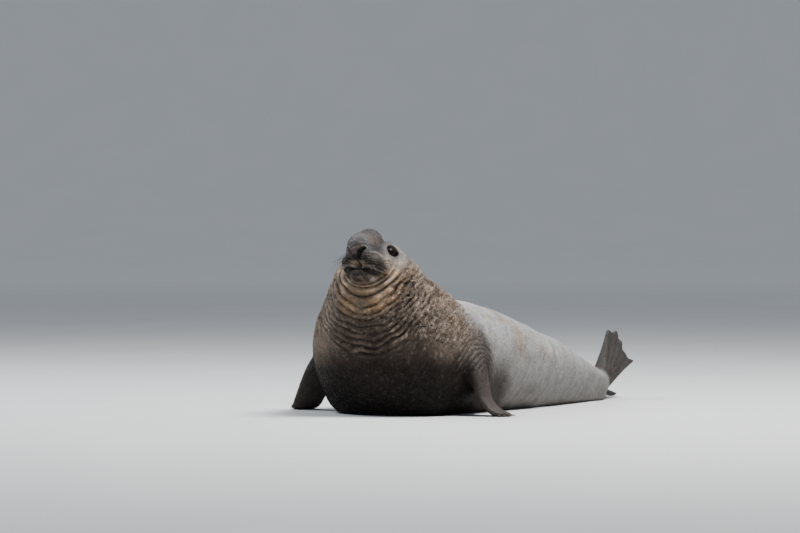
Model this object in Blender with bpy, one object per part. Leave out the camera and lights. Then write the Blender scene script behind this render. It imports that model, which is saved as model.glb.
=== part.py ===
# A bull southern elephant seal, life size: chest up on its fore flippers, head raised, hind flippers behind.
# Metres, +Z up. The seal faces -Y and its own left side is +X. The floor is Z = 0.
import math

import bmesh
import bpy
import numpy as np
from mathutils import Matrix, Vector

# Driving dimensions
EYES_MIDDLE = (0.086, -0.297, 1.279)
HEAD_TURN = math.radians(5.0)
HEAD_LIFT = math.radians(24.5)
EYEBALL = 0.053
EYE_PLACE = (0.009, 0.100, -0.017)
EYE_GAZE = (0.428, 0.876, 0.224)
EYE_LENGTH_WAY = (-0.878, 0.462, -0.127)
EYE_OPENING = (0.054, 0.030)
LID = 0.003
SEAM = 0.0003
SLIVER = 0.0001
PINCH_ROUNDS = 6
FLOOR_ROUNDING = 0.035
FLOOR_PRESS = 0.011
PRESSED_BELOW = 0.035

# Stations of the neck, from the skull down into the chest, and of the trunk, from the breast to the tail tip:
# where the axis runs, which way the body faces there (degrees to the left of -Y), and its half width, back
# height and belly depth round the axis.
NECK_STATIONS = (
    # x, y, z, facing, half width, back, belly
    (0.022, -0.215, 1.122, 11.0, 0.350, 0.168, 0.335),  # jowls
    (0.012, -0.180, 1.036, 12.0, 0.408, 0.195, 0.425),  # nape
    (0.004, -0.100, 0.853, 12.0, 0.560, 0.292, 0.520),  # neck
    (-0.005, -0.010, 0.660, 12.0, 0.650, 0.380, 0.560),  # shoulders
    (-0.015, 0.090, 0.420, 11.0, 0.655, 0.400, 0.560),  # breast
    (-0.025, 0.160, 0.250, 11.0, 0.610, 0.400, 0.530),  # under the breast
)
TRUNK_STATIONS = (
    # x, y, z, facing, half width, back, belly
    (-0.015, 0.120, 0.400, 11.0, 0.600, 0.385, 0.500),  # inside the breast
    (-0.010, 0.360, 0.425, 8.0, 0.640, 0.462, 0.545),  # chest
    (0.000, 0.850, 0.415, 3.0, 0.615, 0.425, 0.515),  # ribs
    (0.000, 1.400, 0.345, 0.0, 0.540, 0.325, 0.445),  # belly
    (0.000, 1.930, 0.275, 0.0, 0.425, 0.240, 0.365),  # loin
    (0.000, 2.340, 0.200, 0.0, 0.320, 0.150, 0.275),  # hips
    (0.000, 2.640, 0.155, 0.0, 0.215, 0.080, 0.185),  # ankles
    (0.000, 2.750, 0.165, 0.0, 0.080, 0.060, 0.085),  # tail root
    (0.000, 2.910, 0.180, 0.0, 0.032, 0.026, 0.030),  # tail tip
)

# The head's swellings, in the head's own axes: forward, left, up from the middle between the eyes.
# A left of 0 is on the midline, any other is made on both sides.
HEAD_SWELLINGS = (
    # forward, left, up, then the three radii, then how far it blends
    (-0.150, 0.000, -0.055, 0.240, 0.165, 0.150, 0.060),  # cranium
    (-0.130, 0.090, -0.165, 0.190, 0.105, 0.125, 0.070),  # cheeks
    (-0.010, 0.080, 0.026, 0.085, 0.060, 0.052, 0.045),  # brows
    (-0.095, 0.095, -0.020, 0.120, 0.062, 0.085, 0.060),  # temples
    (0.030, 0.080, -0.062, 0.110, 0.062, 0.075, 0.060),  # below the eyes
    (0.080, 0.000, -0.125, 0.158, 0.146, 0.095, 0.060),  # upper jaw
    (0.160, 0.098, -0.182, 0.110, 0.086, 0.072, 0.045),  # whisker pads
    (0.100, 0.126, -0.208, 0.095, 0.058, 0.040, 0.035),  # lips at the corners of the mouth
    (0.055, 0.000, -0.270, 0.168, 0.116, 0.054, 0.030),  # lower jaw
    (0.165, 0.000, -0.280, 0.080, 0.080, 0.050, 0.025),  # chin
    (0.150, 0.000, 0.010, 0.122, 0.102, 0.112, 0.040),  # hump of the proboscis
    (0.226, 0.000, -0.054, 0.114, 0.134, 0.114, 0.040),  # front of the proboscis
    (0.240, 0.000, -0.120, 0.086, 0.122, 0.062, 0.030),  # its tip
)


def smooth_union(a, b, blend):
    """The nearer of two distances, rounded where they meet."""
    share = np.clip(0.5 + 0.5 * (b - a) / blend, 0.0, 1.0)
    return b + (a - b) * share - blend * share * (1.0 - share)


def ellipsoid(points, centre, radii):
    """Close to the distance from an ellipsoid."""
    offset = points - np.array(centre)
    radii = np.array(radii)
    outer = np.linalg.norm(offset / radii, axis=1)
    inner = np.linalg.norm(offset / radii**2, axis=1) + 1e-9
    return outer * (outer - 1.0) / inner


def smooth_rows(rows, spacing):
    """Rows of numbers read off a smooth curve through the given rows, evenly along its first three columns."""
    rows = np.array(rows, float)
    place = np.concatenate([[0.0], np.cumsum(np.linalg.norm(np.diff(rows[:, :3], axis=0), axis=1))])
    slope = np.gradient(rows, place, axis=0)
    wanted = np.linspace(0.0, place[-1], int(place[-1] / spacing) + 2)
    left = np.clip(np.searchsorted(place, wanted, side="right") - 1, 0, len(place) - 2)
    span = (place[left + 1] - place[left])[:, None]
    t = (wanted[:, None] - place[left][:, None]) / span
    start, end = rows[left], rows[left + 1]
    return (
        start * (2 * t**3 - 3 * t**2 + 1)
        + end * (3 * t**2 - 2 * t**3)
        + slope[left] * span * (t**3 - 2 * t**2 + t)
        + slope[left + 1] * span * (t**3 - t**2)
    )


class Sweep:
    """A body swept along a smooth axis, with a rounded section whose half width, back and belly vary."""

    def __init__(self, rows, spacing, squareness=2.0, bluntness=1.0):
        # A row is x, y, z, side x, side y, side z, half width, back, belly.
        table = smooth_rows(rows, spacing)
        self.axis = table[:, :3]
        step = np.gradient(self.axis, axis=0)
        self.along = step / np.linalg.norm(step, axis=1)[:, None]
        self.place = np.concatenate([[0.0], np.cumsum(np.linalg.norm(np.diff(self.axis, axis=0), axis=1))])
        side = table[:, 3:6]
        side = side - self.along * np.sum(side * self.along, axis=1)[:, None]
        self.side = side / np.linalg.norm(side, axis=1)[:, None]
        self.table = np.concatenate([self.axis, self.side, self.along, table[:, 6:9]], axis=1)
        self.squareness = squareness
        self.bluntness = bluntness

    def locate(self, points):
        """For each point: its nearest place, how far past an end it is, its offset sideways and up, and the sizes."""
        last = len(self.axis) - 1
        near = np.argmin(np.sum(self.axis**2, axis=1)[None, :] - 2.0 * (points @ self.axis.T), axis=1)
        ahead = np.sum((points - self.axis[near]) * self.along[near], axis=1)
        other = np.clip(near + np.where(ahead > 0, 1, -1), 0, last)
        gap = np.abs(self.place[other] - self.place[near])
        share = np.where(gap > 0, np.clip(np.abs(ahead) / np.maximum(gap, 1e-9), 0.0, 1.0), 0.0)[:, None]
        blended = self.table[near] * (1.0 - share) + self.table[other] * share
        axis, side, along, size = blended[:, :3], blended[:, 3:6], blended[:, 6:9], blended[:, 9:12]
        offset = points - axis
        across = np.sum(offset * side, axis=1)
        up = np.sum(offset * np.cross(side, along), axis=1)
        beyond = np.where(gap > 0, 0.0, np.sum(offset * along, axis=1))
        return self.place[near] + ahead, beyond, across, up, size

    def distance(self, points):
        _, beyond, across, up, size = self.locate(points)
        half, back, belly = size.T
        tall = np.where(up > 0, back, belly)
        cap = np.minimum(half, (back + belly) / 2) / self.bluntness
        power = self.squareness
        reach = np.sqrt(across**2 + up**2 + beyond**2) + 1e-9
        spread = np.abs(across / half) ** power + np.abs(up / tall) ** power + np.abs(beyond / cap) ** power
        measure = np.maximum(spread, 1e-9) ** (1.0 / power)
        return reach - reach / measure


def facing_side(degrees):
    """The level direction to the left of a body that faces so many degrees to the left of -Y."""
    turn = math.radians(degrees)
    return (math.cos(turn), math.sin(turn), 0.0)


def body_rows(stations):
    return [row[:3] + facing_side(row[3]) + row[4:] for row in stations]


NECK = Sweep(body_rows(NECK_STATIONS), 0.02, 2.15, 2.2)
TRUNK = Sweep(body_rows(TRUNK_STATIONS), 0.02, 2.3)

HEAD_FORWARD = np.array(
    (
        math.cos(HEAD_LIFT) * math.sin(HEAD_TURN),
        -math.cos(HEAD_LIFT) * math.cos(HEAD_TURN),
        math.sin(HEAD_LIFT),
    )
)
HEAD_LEFT = np.array(facing_side(math.degrees(HEAD_TURN)))
HEAD_UP = np.cross(HEAD_FORWARD, HEAD_LEFT)
HEAD_AXES = np.array((HEAD_FORWARD, HEAD_LEFT, HEAD_UP))


def to_head(points):
    """World points in the head's axes."""
    return (points - np.array(EYES_MIDDLE)) @ HEAD_AXES.T


def from_head(place):
    """A place in the head's axes as a world point."""
    return np.array(EYES_MIDDLE) + np.array(place) @ HEAD_AXES


def head_distance(points):
    """The head without its openings."""
    local = to_head(points)
    folded = local * (1.0, 0.0, 1.0) + np.abs(local) * (0.0, 1.0, 0.0)
    found = None
    for forward, left, up, length, width, height, blend in HEAD_SWELLINGS:
        here = ellipsoid(local if left == 0 else folded, (forward, left, up), (length, width, height))
        found = here if found is None else smooth_union(found, here, blend)
    return found


# Fore flippers: where the limb runs, from inside the shoulder to the fingertips, its half breadth from the
# leading edge to the trailing edge, and half its thickness.
LEFT_FORE_STATIONS = (
    # x, y, z, half breadth, half thickness
    (0.420, 0.220, 0.520, 0.150, 0.110),
    (0.640, 0.200, 0.420, 0.150, 0.085),  # elbow
    (0.710, 0.190, 0.260, 0.140, 0.066),
    (0.760, 0.190, 0.120, 0.128, 0.052),  # wrist
    (0.830, 0.200, 0.050, 0.115, 0.040),
    (0.905, 0.205, 0.024, 0.095, 0.027),
    (0.965, 0.210, 0.018, 0.050, 0.018),  # fingertips
)
RIGHT_FORE_STATIONS = (
    (-0.420, 0.200, 0.520, 0.150, 0.110),
    (-0.690, 0.080, 0.420, 0.150, 0.085),
    (-0.790, 0.030, 0.260, 0.140, 0.066),
    (-0.860, 0.010, 0.110, 0.132, 0.052),
    (-0.905, 0.020, 0.045, 0.128, 0.040),
    (-0.980, 0.060, 0.024, 0.100, 0.027),
    (-1.040, 0.090, 0.018, 0.050, 0.018),
)
FORE_BREADTH_WAY = (0.42, 0.90, 0.0)


def fore_rows(stations, side):
    """side is 1 for the left flipper and -1 for the right."""
    breadth = (-side * FORE_BREADTH_WAY[0],) + FORE_BREADTH_WAY[1:]
    return [row[:3] + breadth + (row[3], row[4], row[4]) for row in stations]


LEFT_FORE = Sweep(fore_rows(LEFT_FORE_STATIONS, 1), 0.02)
RIGHT_FORE = Sweep(fore_rows(RIGHT_FORE_STATIONS, -1), 0.02)


class Fan:
    """A hind flipper: five digits spread from the ankle with webs between them, the outer two the longest."""

    def __init__(self, ankle, ahead, normal, spread, lengths, root, digit, web):
        self.ankle = np.array(ankle)
        self.ahead = np.array(Vector(ahead).normalized())
        face = Vector(normal) - Vector(self.ahead) * Vector(normal).dot(Vector(self.ahead))
        self.normal = np.array(face.normalized())
        self.across = np.cross(self.normal, self.ahead)
        self.lengths = np.array(lengths)
        self.angles = np.radians(np.linspace(-spread / 2, spread / 2, len(lengths)))
        self.root, self.digit, self.web = root, digit, web

    def tip(self, index):
        angle = self.angles[index]
        return self.ankle + self.lengths[index] * (
            self.ahead * math.cos(angle) + self.across * math.sin(angle)
        )

    def distance(self, points):
        offset = points - self.ankle
        ahead = offset @ self.ahead
        across = offset @ self.across
        off = np.abs(offset @ self.normal)
        # The digits start apart from each other, so the fan's centre lies a little inside the ankle.
        heart = self.root * 1.3
        reach = np.hypot(ahead + heart, across) - heart
        angle = np.arctan2(across, ahead + heart)
        bent = angle * (heart + 0.3) / 0.3
        spread = self.angles[-1]
        turned = np.clip(bent, -spread, spread)
        longest = np.interp(turned, self.angles, self.lengths)
        gap = self.angles[1] - self.angles[0]
        between = 0.5 - 0.5 * np.cos(2.0 * np.pi * (turned - self.angles[0]) / gap)
        longest = longest * (1.0 - 0.04 * between)
        out = np.clip(reach / longest, 0.0, 1.0)
        ridge = self.digit + (self.web - self.digit) * between**0.7
        thick = self.root * (1.0 - out) ** 1.6 + ridge * (1.0 - 0.30 * out)
        sideways = np.maximum(np.abs(bent) - spread, 0.0) * np.maximum(reach + heart, 0.02)
        beyond = np.maximum(reach - longest, 0.0)
        before = np.maximum(-reach, 0.0)
        rim = np.hypot(np.hypot(sideways, beyond), before)
        return (np.hypot(off, rim) - thick) * 0.8


# The left fan stands raised on its edge, and the right one lies out over the floor.
LEFT_HIND = Fan(
    ankle=(0.125, 2.66, 0.165),
    ahead=(-0.01, 0.70, 0.71),
    normal=(1.0, 0.0, 0.05),
    spread=60,
    lengths=(0.46, 0.39, 0.42, 0.45, 0.41),
    root=0.055,
    digit=0.029,
    web=0.020,
)
RIGHT_HIND = Fan(
    ankle=(-0.125, 2.66, 0.130),
    ahead=(-0.26, 0.96, -0.06),
    normal=(0.45, 0.10, 0.88),
    spread=46,
    lengths=(0.54, 0.49, 0.46, 0.49, 0.56),
    root=0.055,
    digit=0.029,
    web=0.020,
)


def torso_distance(points):
    """Head, neck and trunk."""
    found = smooth_union(NECK.distance(points), TRUNK.distance(points), 0.25)
    return smooth_union(found, head_distance(points), 0.08)


def eye_axes(side):
    """The eyeball's centre and its axes: along the opening, across it, and out along the gaze."""
    mirror = np.array((1.0, side, 1.0))
    gaze = np.array(EYE_GAZE) / np.linalg.norm(EYE_GAZE)
    length = np.array(EYE_LENGTH_WAY) - gaze * np.dot(EYE_LENGTH_WAY, gaze)
    length = length / np.linalg.norm(length)
    upward = np.cross(gaze, length)
    axes = np.array((length, upward, gaze)) * mirror
    return from_head(np.array(EYE_PLACE) * mirror), axes @ HEAD_AXES


def almond(points, side, size):
    """Below 0 inside an almond of the given half length and half height round the eye, in metres."""
    centre, axes = eye_axes(side)
    local = (points - centre) @ axes.T
    half_length, half_height = size
    bow = (half_length**2 + half_height**2) / (2 * half_height)
    rise = np.hypot(local[:, 0], np.abs(local[:, 1]) + bow - half_height) - bow
    return np.where(local[:, 2] > 0, rise, 1.0)


def body_distance(points):
    """The whole seal but its eyeballs, without folds."""
    found = torso_distance(points)
    for side in (1, -1):
        centre, _ = eye_axes(side)
        lid = np.linalg.norm(points - centre, axis=1) - EYEBALL - LID
        found = smooth_union(found, lid, 0.050)
    for flipper in (LEFT_FORE, RIGHT_FORE):
        found = smooth_union(found, flipper.distance(points), 0.06)
    for fan in (LEFT_HIND, RIGHT_HIND):
        found = smooth_union(found, fan.distance(points), 0.03)
    return -smooth_union(-found, points[:, 2], FLOOR_ROUNDING)


class Bumps:
    """Soft seeded bumps between about -1 and 1, of about the given size."""

    def __init__(self, seed, size, count=32):
        self.values = np.random.default_rng(seed).uniform(-1.0, 1.0, (count, count, count))
        self.size = size
        self.count = count

    def __call__(self, points):
        place = np.asarray(points) / self.size
        cell = np.floor(place).astype(int)
        t = place - cell
        t = t * t * (3.0 - 2.0 * t)
        total = np.zeros(len(place))
        for i in (0, 1):
            for j in (0, 1):
                for k in (0, 1):
                    share = (
                        (t[:, 0] if i else 1 - t[:, 0])
                        * (t[:, 1] if j else 1 - t[:, 1])
                        * (t[:, 2] if k else 1 - t[:, 2])
                    )
                    x, y, z = ((cell + (i, j, k)) % self.count).T
                    total += share * self.values[x, y, z]
        return total


def ramp(value, start, end):
    """0 before start and 1 after end, smoothly."""
    t = np.clip((value - start) / (end - start), 0.0, 1.0)
    return t * t * (3.0 - 2.0 * t)


def ridge(value, width):
    """1 at 0 and falling off smoothly over about the width."""
    return np.exp(-((value / width) ** 2))


# The throat's own axes, for its folds: down it, to its left, and towards the nape.
THROAT_TOP = np.array((0.045, -0.240, 1.180))
THROAT_FACING = math.radians(13.0)
FOLD_SLANT = math.radians(35.0)
FOLD_SPREAD = 0.48
THROAT_WAY = np.array(
    (
        -math.sin(THROAT_FACING) * math.sin(FOLD_SLANT),
        math.cos(THROAT_FACING) * math.sin(FOLD_SLANT),
        -math.cos(FOLD_SLANT),
    )
)
THROAT_LEFT = np.array(facing_side(math.degrees(THROAT_FACING)))
THROAT_BACK = np.cross(THROAT_LEFT, THROAT_WAY)

FOLD_START = -0.066
FOLD_END = 0.520
FIRST_FOLD = 0.0375
FOLD_STEP = 0.060
FOLD_DEPTH = 0.025
WARP_WIDE = Bumps(3, 0.30)
WARP_NARROW = Bumps(4, 0.11)
LUMPS = Bumps(5, 0.060)
SMALL_LUMPS = Bumps(6, 0.030)


def neck_place(points):
    """How far down the neck a point lies, and its angle round it from the middle of the throat."""
    offset = points - THROAT_TOP
    across = offset @ THROAT_LEFT
    down = (offset @ THROAT_WAY) / math.cos(FOLD_SLANT) + across**2 / (2 * FOLD_SPREAD)
    angle = np.arctan2(across, -(offset @ THROAT_BACK))
    return down, angle


# How far round the neck the throat's folds reach at its top, how much farther down the neck, and where they fade
FOLD_REACH = 0.75
FOLD_REACH_GAIN = 1.2
FOLD_FADE = 0.6
# How much the folds wander up and down the neck, in folds: in long waves, and in short ones in front and aside
FOLD_WANDER = 0.80
FOLD_STRAY_FRONT = 0.35
FOLD_STRAY_SIDE = 0.55
FOLD_ROUNDNESS = 0.55
FOLD_LEVEL = 0.68
NECK_LUMP = 0.0075
NECK_SMALL_LUMP = 0.0035


def throat_folds(points):
    """Rolls of skin across the throat, and lumps where they break up on the sides of the neck."""
    down, angle = neck_place(points)
    turn = np.abs(angle) + 0.25 * WARP_NARROW(points + 3.0)
    stray = FOLD_STRAY_FRONT + (FOLD_STRAY_SIDE - FOLD_STRAY_FRONT) * ramp(turn, 0.4, 1.2)
    warp = FOLD_WANDER * WARP_WIDE(points) + stray * WARP_NARROW(points * (1.0, 1.0, 1.6))
    narrow_first = (1.0 - FIRST_FOLD / FOLD_STEP) * ramp(down, FOLD_START, FOLD_START + FIRST_FOLD)
    count = (down - FOLD_START) / FOLD_STEP + narrow_first + warp * ramp(down, 0.02, 0.14)
    roll = np.abs(np.sin(np.pi * count)) ** FOLD_ROUNDNESS
    reach = ramp(down, FOLD_START - 0.03, FOLD_START) * (1.0 - ramp(down, FOLD_END - 0.06, FOLD_END + 0.03))
    edge = FOLD_REACH + FOLD_REACH_GAIN * np.clip(down, 0.0, 0.3)
    front = reach * (1.0 - ramp(turn, edge, edge + FOLD_FADE))
    depth = FOLD_DEPTH * (0.95 + 0.50 * WARP_WIDE(points + 7.0) + 0.25 * WARP_NARROW(points + 5.0))
    sides = ramp(down, 0.02, 0.12) * (1.0 - ramp(down, 0.62, 0.90)) * ramp(turn, 0.9, 1.5)
    sides = sides * (1.0 - 0.6 * ramp(turn, 2.4, 3.0))
    lumps = NECK_LUMP * LUMPS(points * (1.0, 1.0, 1.6)) + NECK_SMALL_LUMP * SMALL_LUMPS(points)
    return front * depth * (roll - FOLD_LEVEL) + (sides + 0.25 * front) * lumps


SWELLS = Bumps(9, 0.42)
SWELL_HEIGHT = 0.012
SMALL_SWELLS = Bumps(10, 0.17)
SMALL_SWELL_HEIGHT = 0.005
FLANK_ROLL = (1.39, 0.55)
FLANK_ROLL_LEAN = 0.55
FLANK_ROLL_WIDTH = 0.11
FLANK_ROLL_HEIGHT = 0.018
FLANK_HOLLOW_BEHIND = 0.19
FLANK_HOLLOW_WIDTH = 0.09
FLANK_HOLLOW_DEPTH = 0.016


def blubber(points):
    """Broad swells of the trunk behind the shoulders."""
    behind = ramp(points[:, 1], 0.45, 0.80) * (1.0 - ramp(points[:, 1], 2.3, 2.7))
    place = points[:, 1] - FLANK_ROLL[0] - FLANK_ROLL_LEAN * (points[:, 2] - FLANK_ROLL[1])
    roll = FLANK_ROLL_HEIGHT * ridge(place, FLANK_ROLL_WIDTH)
    hollow = FLANK_HOLLOW_DEPTH * ridge(place - FLANK_HOLLOW_BEHIND, FLANK_HOLLOW_WIDTH)
    low = 1.0 - ramp(points[:, 2], 0.42, 0.60)
    swells = SWELL_HEIGHT * SWELLS(points) + SMALL_SWELL_HEIGHT * SMALL_SWELLS(points)
    return behind * (swells + (roll - hollow) * low)


# The middles of the creases over the fore flippers, and the side that each is on
SHOULDERS = (((0.715, 0.215, 0.27), 1), ((-0.780, 0.05, 0.27), -1))
SHOULDER_FOLD_STEP = 0.036
SHOULDER_FOLD_DEPTH = 0.012
SHOULDER_FOLD_BAND = (0.09, 0.14, 0.26, 0.38)


def shoulder_folds(points):
    """Creases that arch over the roots of the fore flippers."""
    total = np.zeros(len(points))
    for centre, side in SHOULDERS:
        offset = points - np.array(centre)
        away = np.linalg.norm(offset * (0.8, 1.0, 1.0), axis=1) + 0.02 * WARP_NARROW(points)
        above = ramp(offset[:, 2] / np.maximum(away, 1e-6), -0.1, 0.5)
        outside = ramp(offset[:, 0] * side, -0.32, -0.18)
        start, full, fading, end = SHOULDER_FOLD_BAND
        band = ramp(away, start, full) * (1.0 - ramp(away, fading, end))
        roll = np.abs(np.sin(np.pi * away / SHOULDER_FOLD_STEP)) ** 0.6
        total += SHOULDER_FOLD_DEPTH * band * above * outside * (roll - 0.7)
    return total


MOUTH_HEIGHT = -0.238
MOUTH_DROOP = 0.7
MOUTH_RISE = 1.1
MOUTH_FRONT = 0.235
MOUTH_BEND = 0.17
MOUTH_BACK_SLOPE = 0.15
MOUTH_CORNER = 0.015


def mouth_line(forward, left):
    """How high the mouth runs in the head's axes."""
    behind = np.maximum(MOUTH_FRONT - forward, 0.0)
    rise = MOUTH_RISE * np.minimum(behind, MOUTH_BEND) ** 2
    rise = rise + MOUTH_BACK_SLOPE * np.maximum(behind - MOUTH_BEND, 0.0)
    return MOUTH_HEIGHT - MOUTH_DROOP * left**2 + rise


MOUTH_DEPTH = 0.011
MOUTH_WIDTH = 0.0065
LIP_RISE = 0.005
LIP_WIDTH = 0.010
LIP_OFFSET = 0.018
JOWL_CREASE = 0.005
PHILTRUM_DEPTH = 0.008
PHILTRUM_WIDTH = 0.006

# The open nostril's slit: left and up in the head's axes, with its half width, from its outer top inwards and
# down. The right nostril is nearly closed.
NOSTRIL = ((0.080, -0.102, 0.007), (0.061, -0.115, 0.013), (0.042, -0.139, 0.019), (0.026, -0.172, 0.009))
NOSTRIL_DEPTH = 0.026
NOSTRIL_ROUNDING = (0.5, 1.5)
NOSTRIL_STARTS = 0.20
CLOSED_SHARE = 0.45
RIM_RISE = 0.004
RIM_OFFSET = 0.012
RIM_WIDTH = 0.008

# Creases across the top of the proboscis: how far forward, and how deep
NOSE_CREASES = ((0.218, 0.008), (0.262, 0.003), (0.165, 0.0025), (0.100, 0.0025))
NOSE_CREASE_BOW = 1.6
CREASE_WIDTH = 0.006

# The crease behind each whisker pad: its middle forward and up, its half length and half height, its depth
PAD_CREASE = (0.140, -0.175, 0.128, 0.090, 0.004)
EAR_PLACE = (-0.233, 0.018)
EAR_DEPTH = 0.010
EAR_WIDTH = 0.007
LID_RISE = 0.003
LID_CREASE_DEPTH = 0.004
LID_CREASE_AWAY = 0.021


def segment_distance(x, y, start, end):
    """How far each point of a plane lies from a line between two points, and how far along it."""
    way = (end[0] - start[0], end[1] - start[1])
    length = way[0] ** 2 + way[1] ** 2
    t = np.clip(((x - start[0]) * way[0] + (y - start[1]) * way[1]) / length, 0.0, 1.0)
    return np.hypot(x - start[0] - way[0] * t, y - start[1] - way[1] * t), t


def nostrils(local):
    """How deep in a nostril each place of the head's axes is, from 0 to 1."""
    up = local[:, 2]
    left = np.abs(local[:, 1])
    share = np.where(local[:, 1] > 0, 1.0, CLOSED_SHARE)
    pit = np.zeros(len(local))
    for start, end in zip(NOSTRIL, NOSTRIL[1:]):
        away, t = segment_distance(left, up, start, end)
        width = (start[2] + (end[2] - start[2]) * t) * share
        low, high = NOSTRIL_ROUNDING
        pit = np.maximum(pit, 1.0 - ramp(away, width * low, width * high))
    return pit * share * ramp(local[:, 0], NOSTRIL_STARTS, NOSTRIL_STARTS + 0.04)


def mouth_relief(local):
    """The mouth with its lips, the crease below its corners and the groove between the whisker pads."""
    forward, up = local[:, 0], local[:, 2]
    left = np.abs(local[:, 1])
    above = up - mouth_line(forward, left)
    reaches = ramp(forward, MOUTH_CORNER - 0.02, MOUTH_CORNER + 0.01)
    lips = ridge(above - LIP_OFFSET, LIP_WIDTH) + ridge(above + LIP_OFFSET, LIP_WIDTH)
    total = reaches * (LIP_RISE * lips - MOUTH_DEPTH * ridge(above, MOUTH_WIDTH))
    lower = above + 0.030 + 0.25 * (0.12 - left)
    total -= JOWL_CREASE * ridge(lower, 0.005) * ramp(left, 0.075, 0.105) * ramp(forward, -0.02, 0.0)
    between = ramp(above, -0.006, 0.004) * (1.0 - ramp(up, -0.17, -0.15)) * ramp(forward, 0.14, 0.20)
    return total - PHILTRUM_DEPTH * ridge(left, PHILTRUM_WIDTH) * between


def face_relief(points):
    """Mouth, lips, nostrils, creases of the proboscis, lids and ear openings."""
    local = to_head(points)
    forward, up = local[:, 0], local[:, 2]
    left = np.abs(local[:, 1])
    total = mouth_relief(local) - NOSTRIL_DEPTH * nostrils(local)
    rim_away, _ = segment_distance(left, up, NOSTRIL[0], NOSTRIL[2])
    total += RIM_RISE * ridge(rim_away - RIM_OFFSET, RIM_WIDTH) * ramp(forward, NOSTRIL_STARTS, NOSTRIL_STARTS + 0.04)
    top = ramp(up, -0.06, 0.0) * (1.0 - ramp(left, 0.10, 0.13))
    for place, depth in NOSE_CREASES:
        total -= depth * top * ridge(forward - place + NOSE_CREASE_BOW * left**2, CREASE_WIDTH)
    pad_forward, pad_up, pad_length, pad_height, pad_depth = PAD_CREASE
    pad = np.hypot((forward - pad_forward) / pad_length, (up - pad_up) / pad_height) - 1.0
    behind = ramp(left, 0.10, 0.13) * ramp(pad_forward - 0.06 - forward, -0.02, 0.03)
    total -= pad_depth * ridge(pad, 0.09) * behind
    ear_forward, ear_up = EAR_PLACE
    ear = np.hypot((forward - ear_forward) / 0.9, up - ear_up + 0.5 * (forward - ear_forward))
    total -= EAR_DEPTH * ridge(ear, EAR_WIDTH) * ramp(left, 0.08, 0.10)
    for side in (1, -1):
        lid = almond(points, side, EYE_OPENING)
        near = ramp(local[:, 1] * side, 0.03, 0.05)
        total += LID_RISE * ridge(lid - 0.009, CREASE_WIDTH) * near
        total -= LID_CREASE_DEPTH * ridge(lid - LID_CREASE_AWAY, CREASE_WIDTH) * near * ramp(up, -0.01, 0.01)
    return total


# How near the eyeball's middle line the lids are drawn onto it, and how far under it the opening lies
LID_REACH = (0.044, 0.056)
LID_DRAWN = (0.003, 0.020)
UNDER_EYE = 0.007


def open_eyes(points):
    """The points round each eye drawn onto its lids, and inside the opening to just under the eyeball."""
    moved = points.copy()
    for side in (1, -1):
        centre, axes = eye_axes(side)
        local = (points - centre) @ axes.T
        lid = almond(points, side, EYE_OPENING)
        out = np.hypot(local[:, 0], local[:, 1])
        close = (local[:, 2] > 0.0) & (out < 0.07) & (np.abs(local[:, 2]) < 0.12)
        globe = np.sqrt(np.maximum(EYEBALL**2 - out**2, (0.3 * EYEBALL) ** 2))
        rim = (1.0 - ramp(lid, *LID_DRAWN)) * (1.0 - ramp(out, *LID_REACH))
        inside = 1.0 - ramp(lid, -0.005, 0.001)
        height = local[:, 2] + (globe + LID - local[:, 2]) * rim
        height = height + (globe - UNDER_EYE - height) * inside
        shift = np.where(close, height - local[:, 2], 0.0)
        moved += shift[:, None] * axes[2]
    return moved


def carve(points, normals):
    """The points moved along the normals to make folds, creases, lips and lids."""
    in_head = 1.0 - ramp(neck_place(points)[0], -0.075, -0.045)
    depth = throat_folds(points) + shoulder_folds(points) + blubber(points)
    depth = depth * ramp(points[:, 2], 0.02, 0.12)
    near_head = (in_head > 0) & (points[:, 1] < 0.1)
    depth[near_head] += face_relief(points[near_head]) * in_head[near_head]
    moved = open_eyes(points + normals * depth[:, None])
    height = moved[:, 2]
    pressed = np.maximum(height - FLOOR_PRESS, 0.0) * PRESSED_BELOW / (PRESSED_BELOW - FLOOR_PRESS)
    moved[:, 2] = np.where(height < PRESSED_BELOW, pressed, height)
    return moved


def lattice(distance, low, high, coarse, parts):
    """Distances on a fine lattice, worked out only near the surface."""
    low, high = np.array(low), np.array(high)
    counts = np.ceil((high - low) / coarse).astype(int)
    centre = [low[i] + coarse * (np.arange(counts[i]) + 0.5) for i in range(3)]
    cells = np.stack(np.meshgrid(*centre, indexing="ij"), axis=-1).reshape(-1, 3)
    value = in_batches(distance, cells)
    fine = coarse / parts
    dense = np.repeat(
        np.repeat(np.repeat(value.reshape(counts), parts, axis=0), parts, axis=1), parts, axis=2
    )
    near = np.abs(value) < coarse * 1.35
    starts = np.stack(np.unravel_index(np.nonzero(near)[0], counts), axis=-1) * parts
    steps = np.stack(np.meshgrid(*[np.arange(parts)] * 3, indexing="ij"), axis=-1).reshape(-1, 3)
    index = (starts[:, None, :] + steps[None, :, :]).reshape(-1, 3)
    points = low + (index + 0.5) * fine
    dense[index[:, 0], index[:, 1], index[:, 2]] = in_batches(distance, points)
    return dense, low + 0.5 * fine, fine


def in_batches(distance, points, size=60000):
    return np.concatenate([distance(points[i : i + size]) for i in range(0, len(points), size)])


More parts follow.
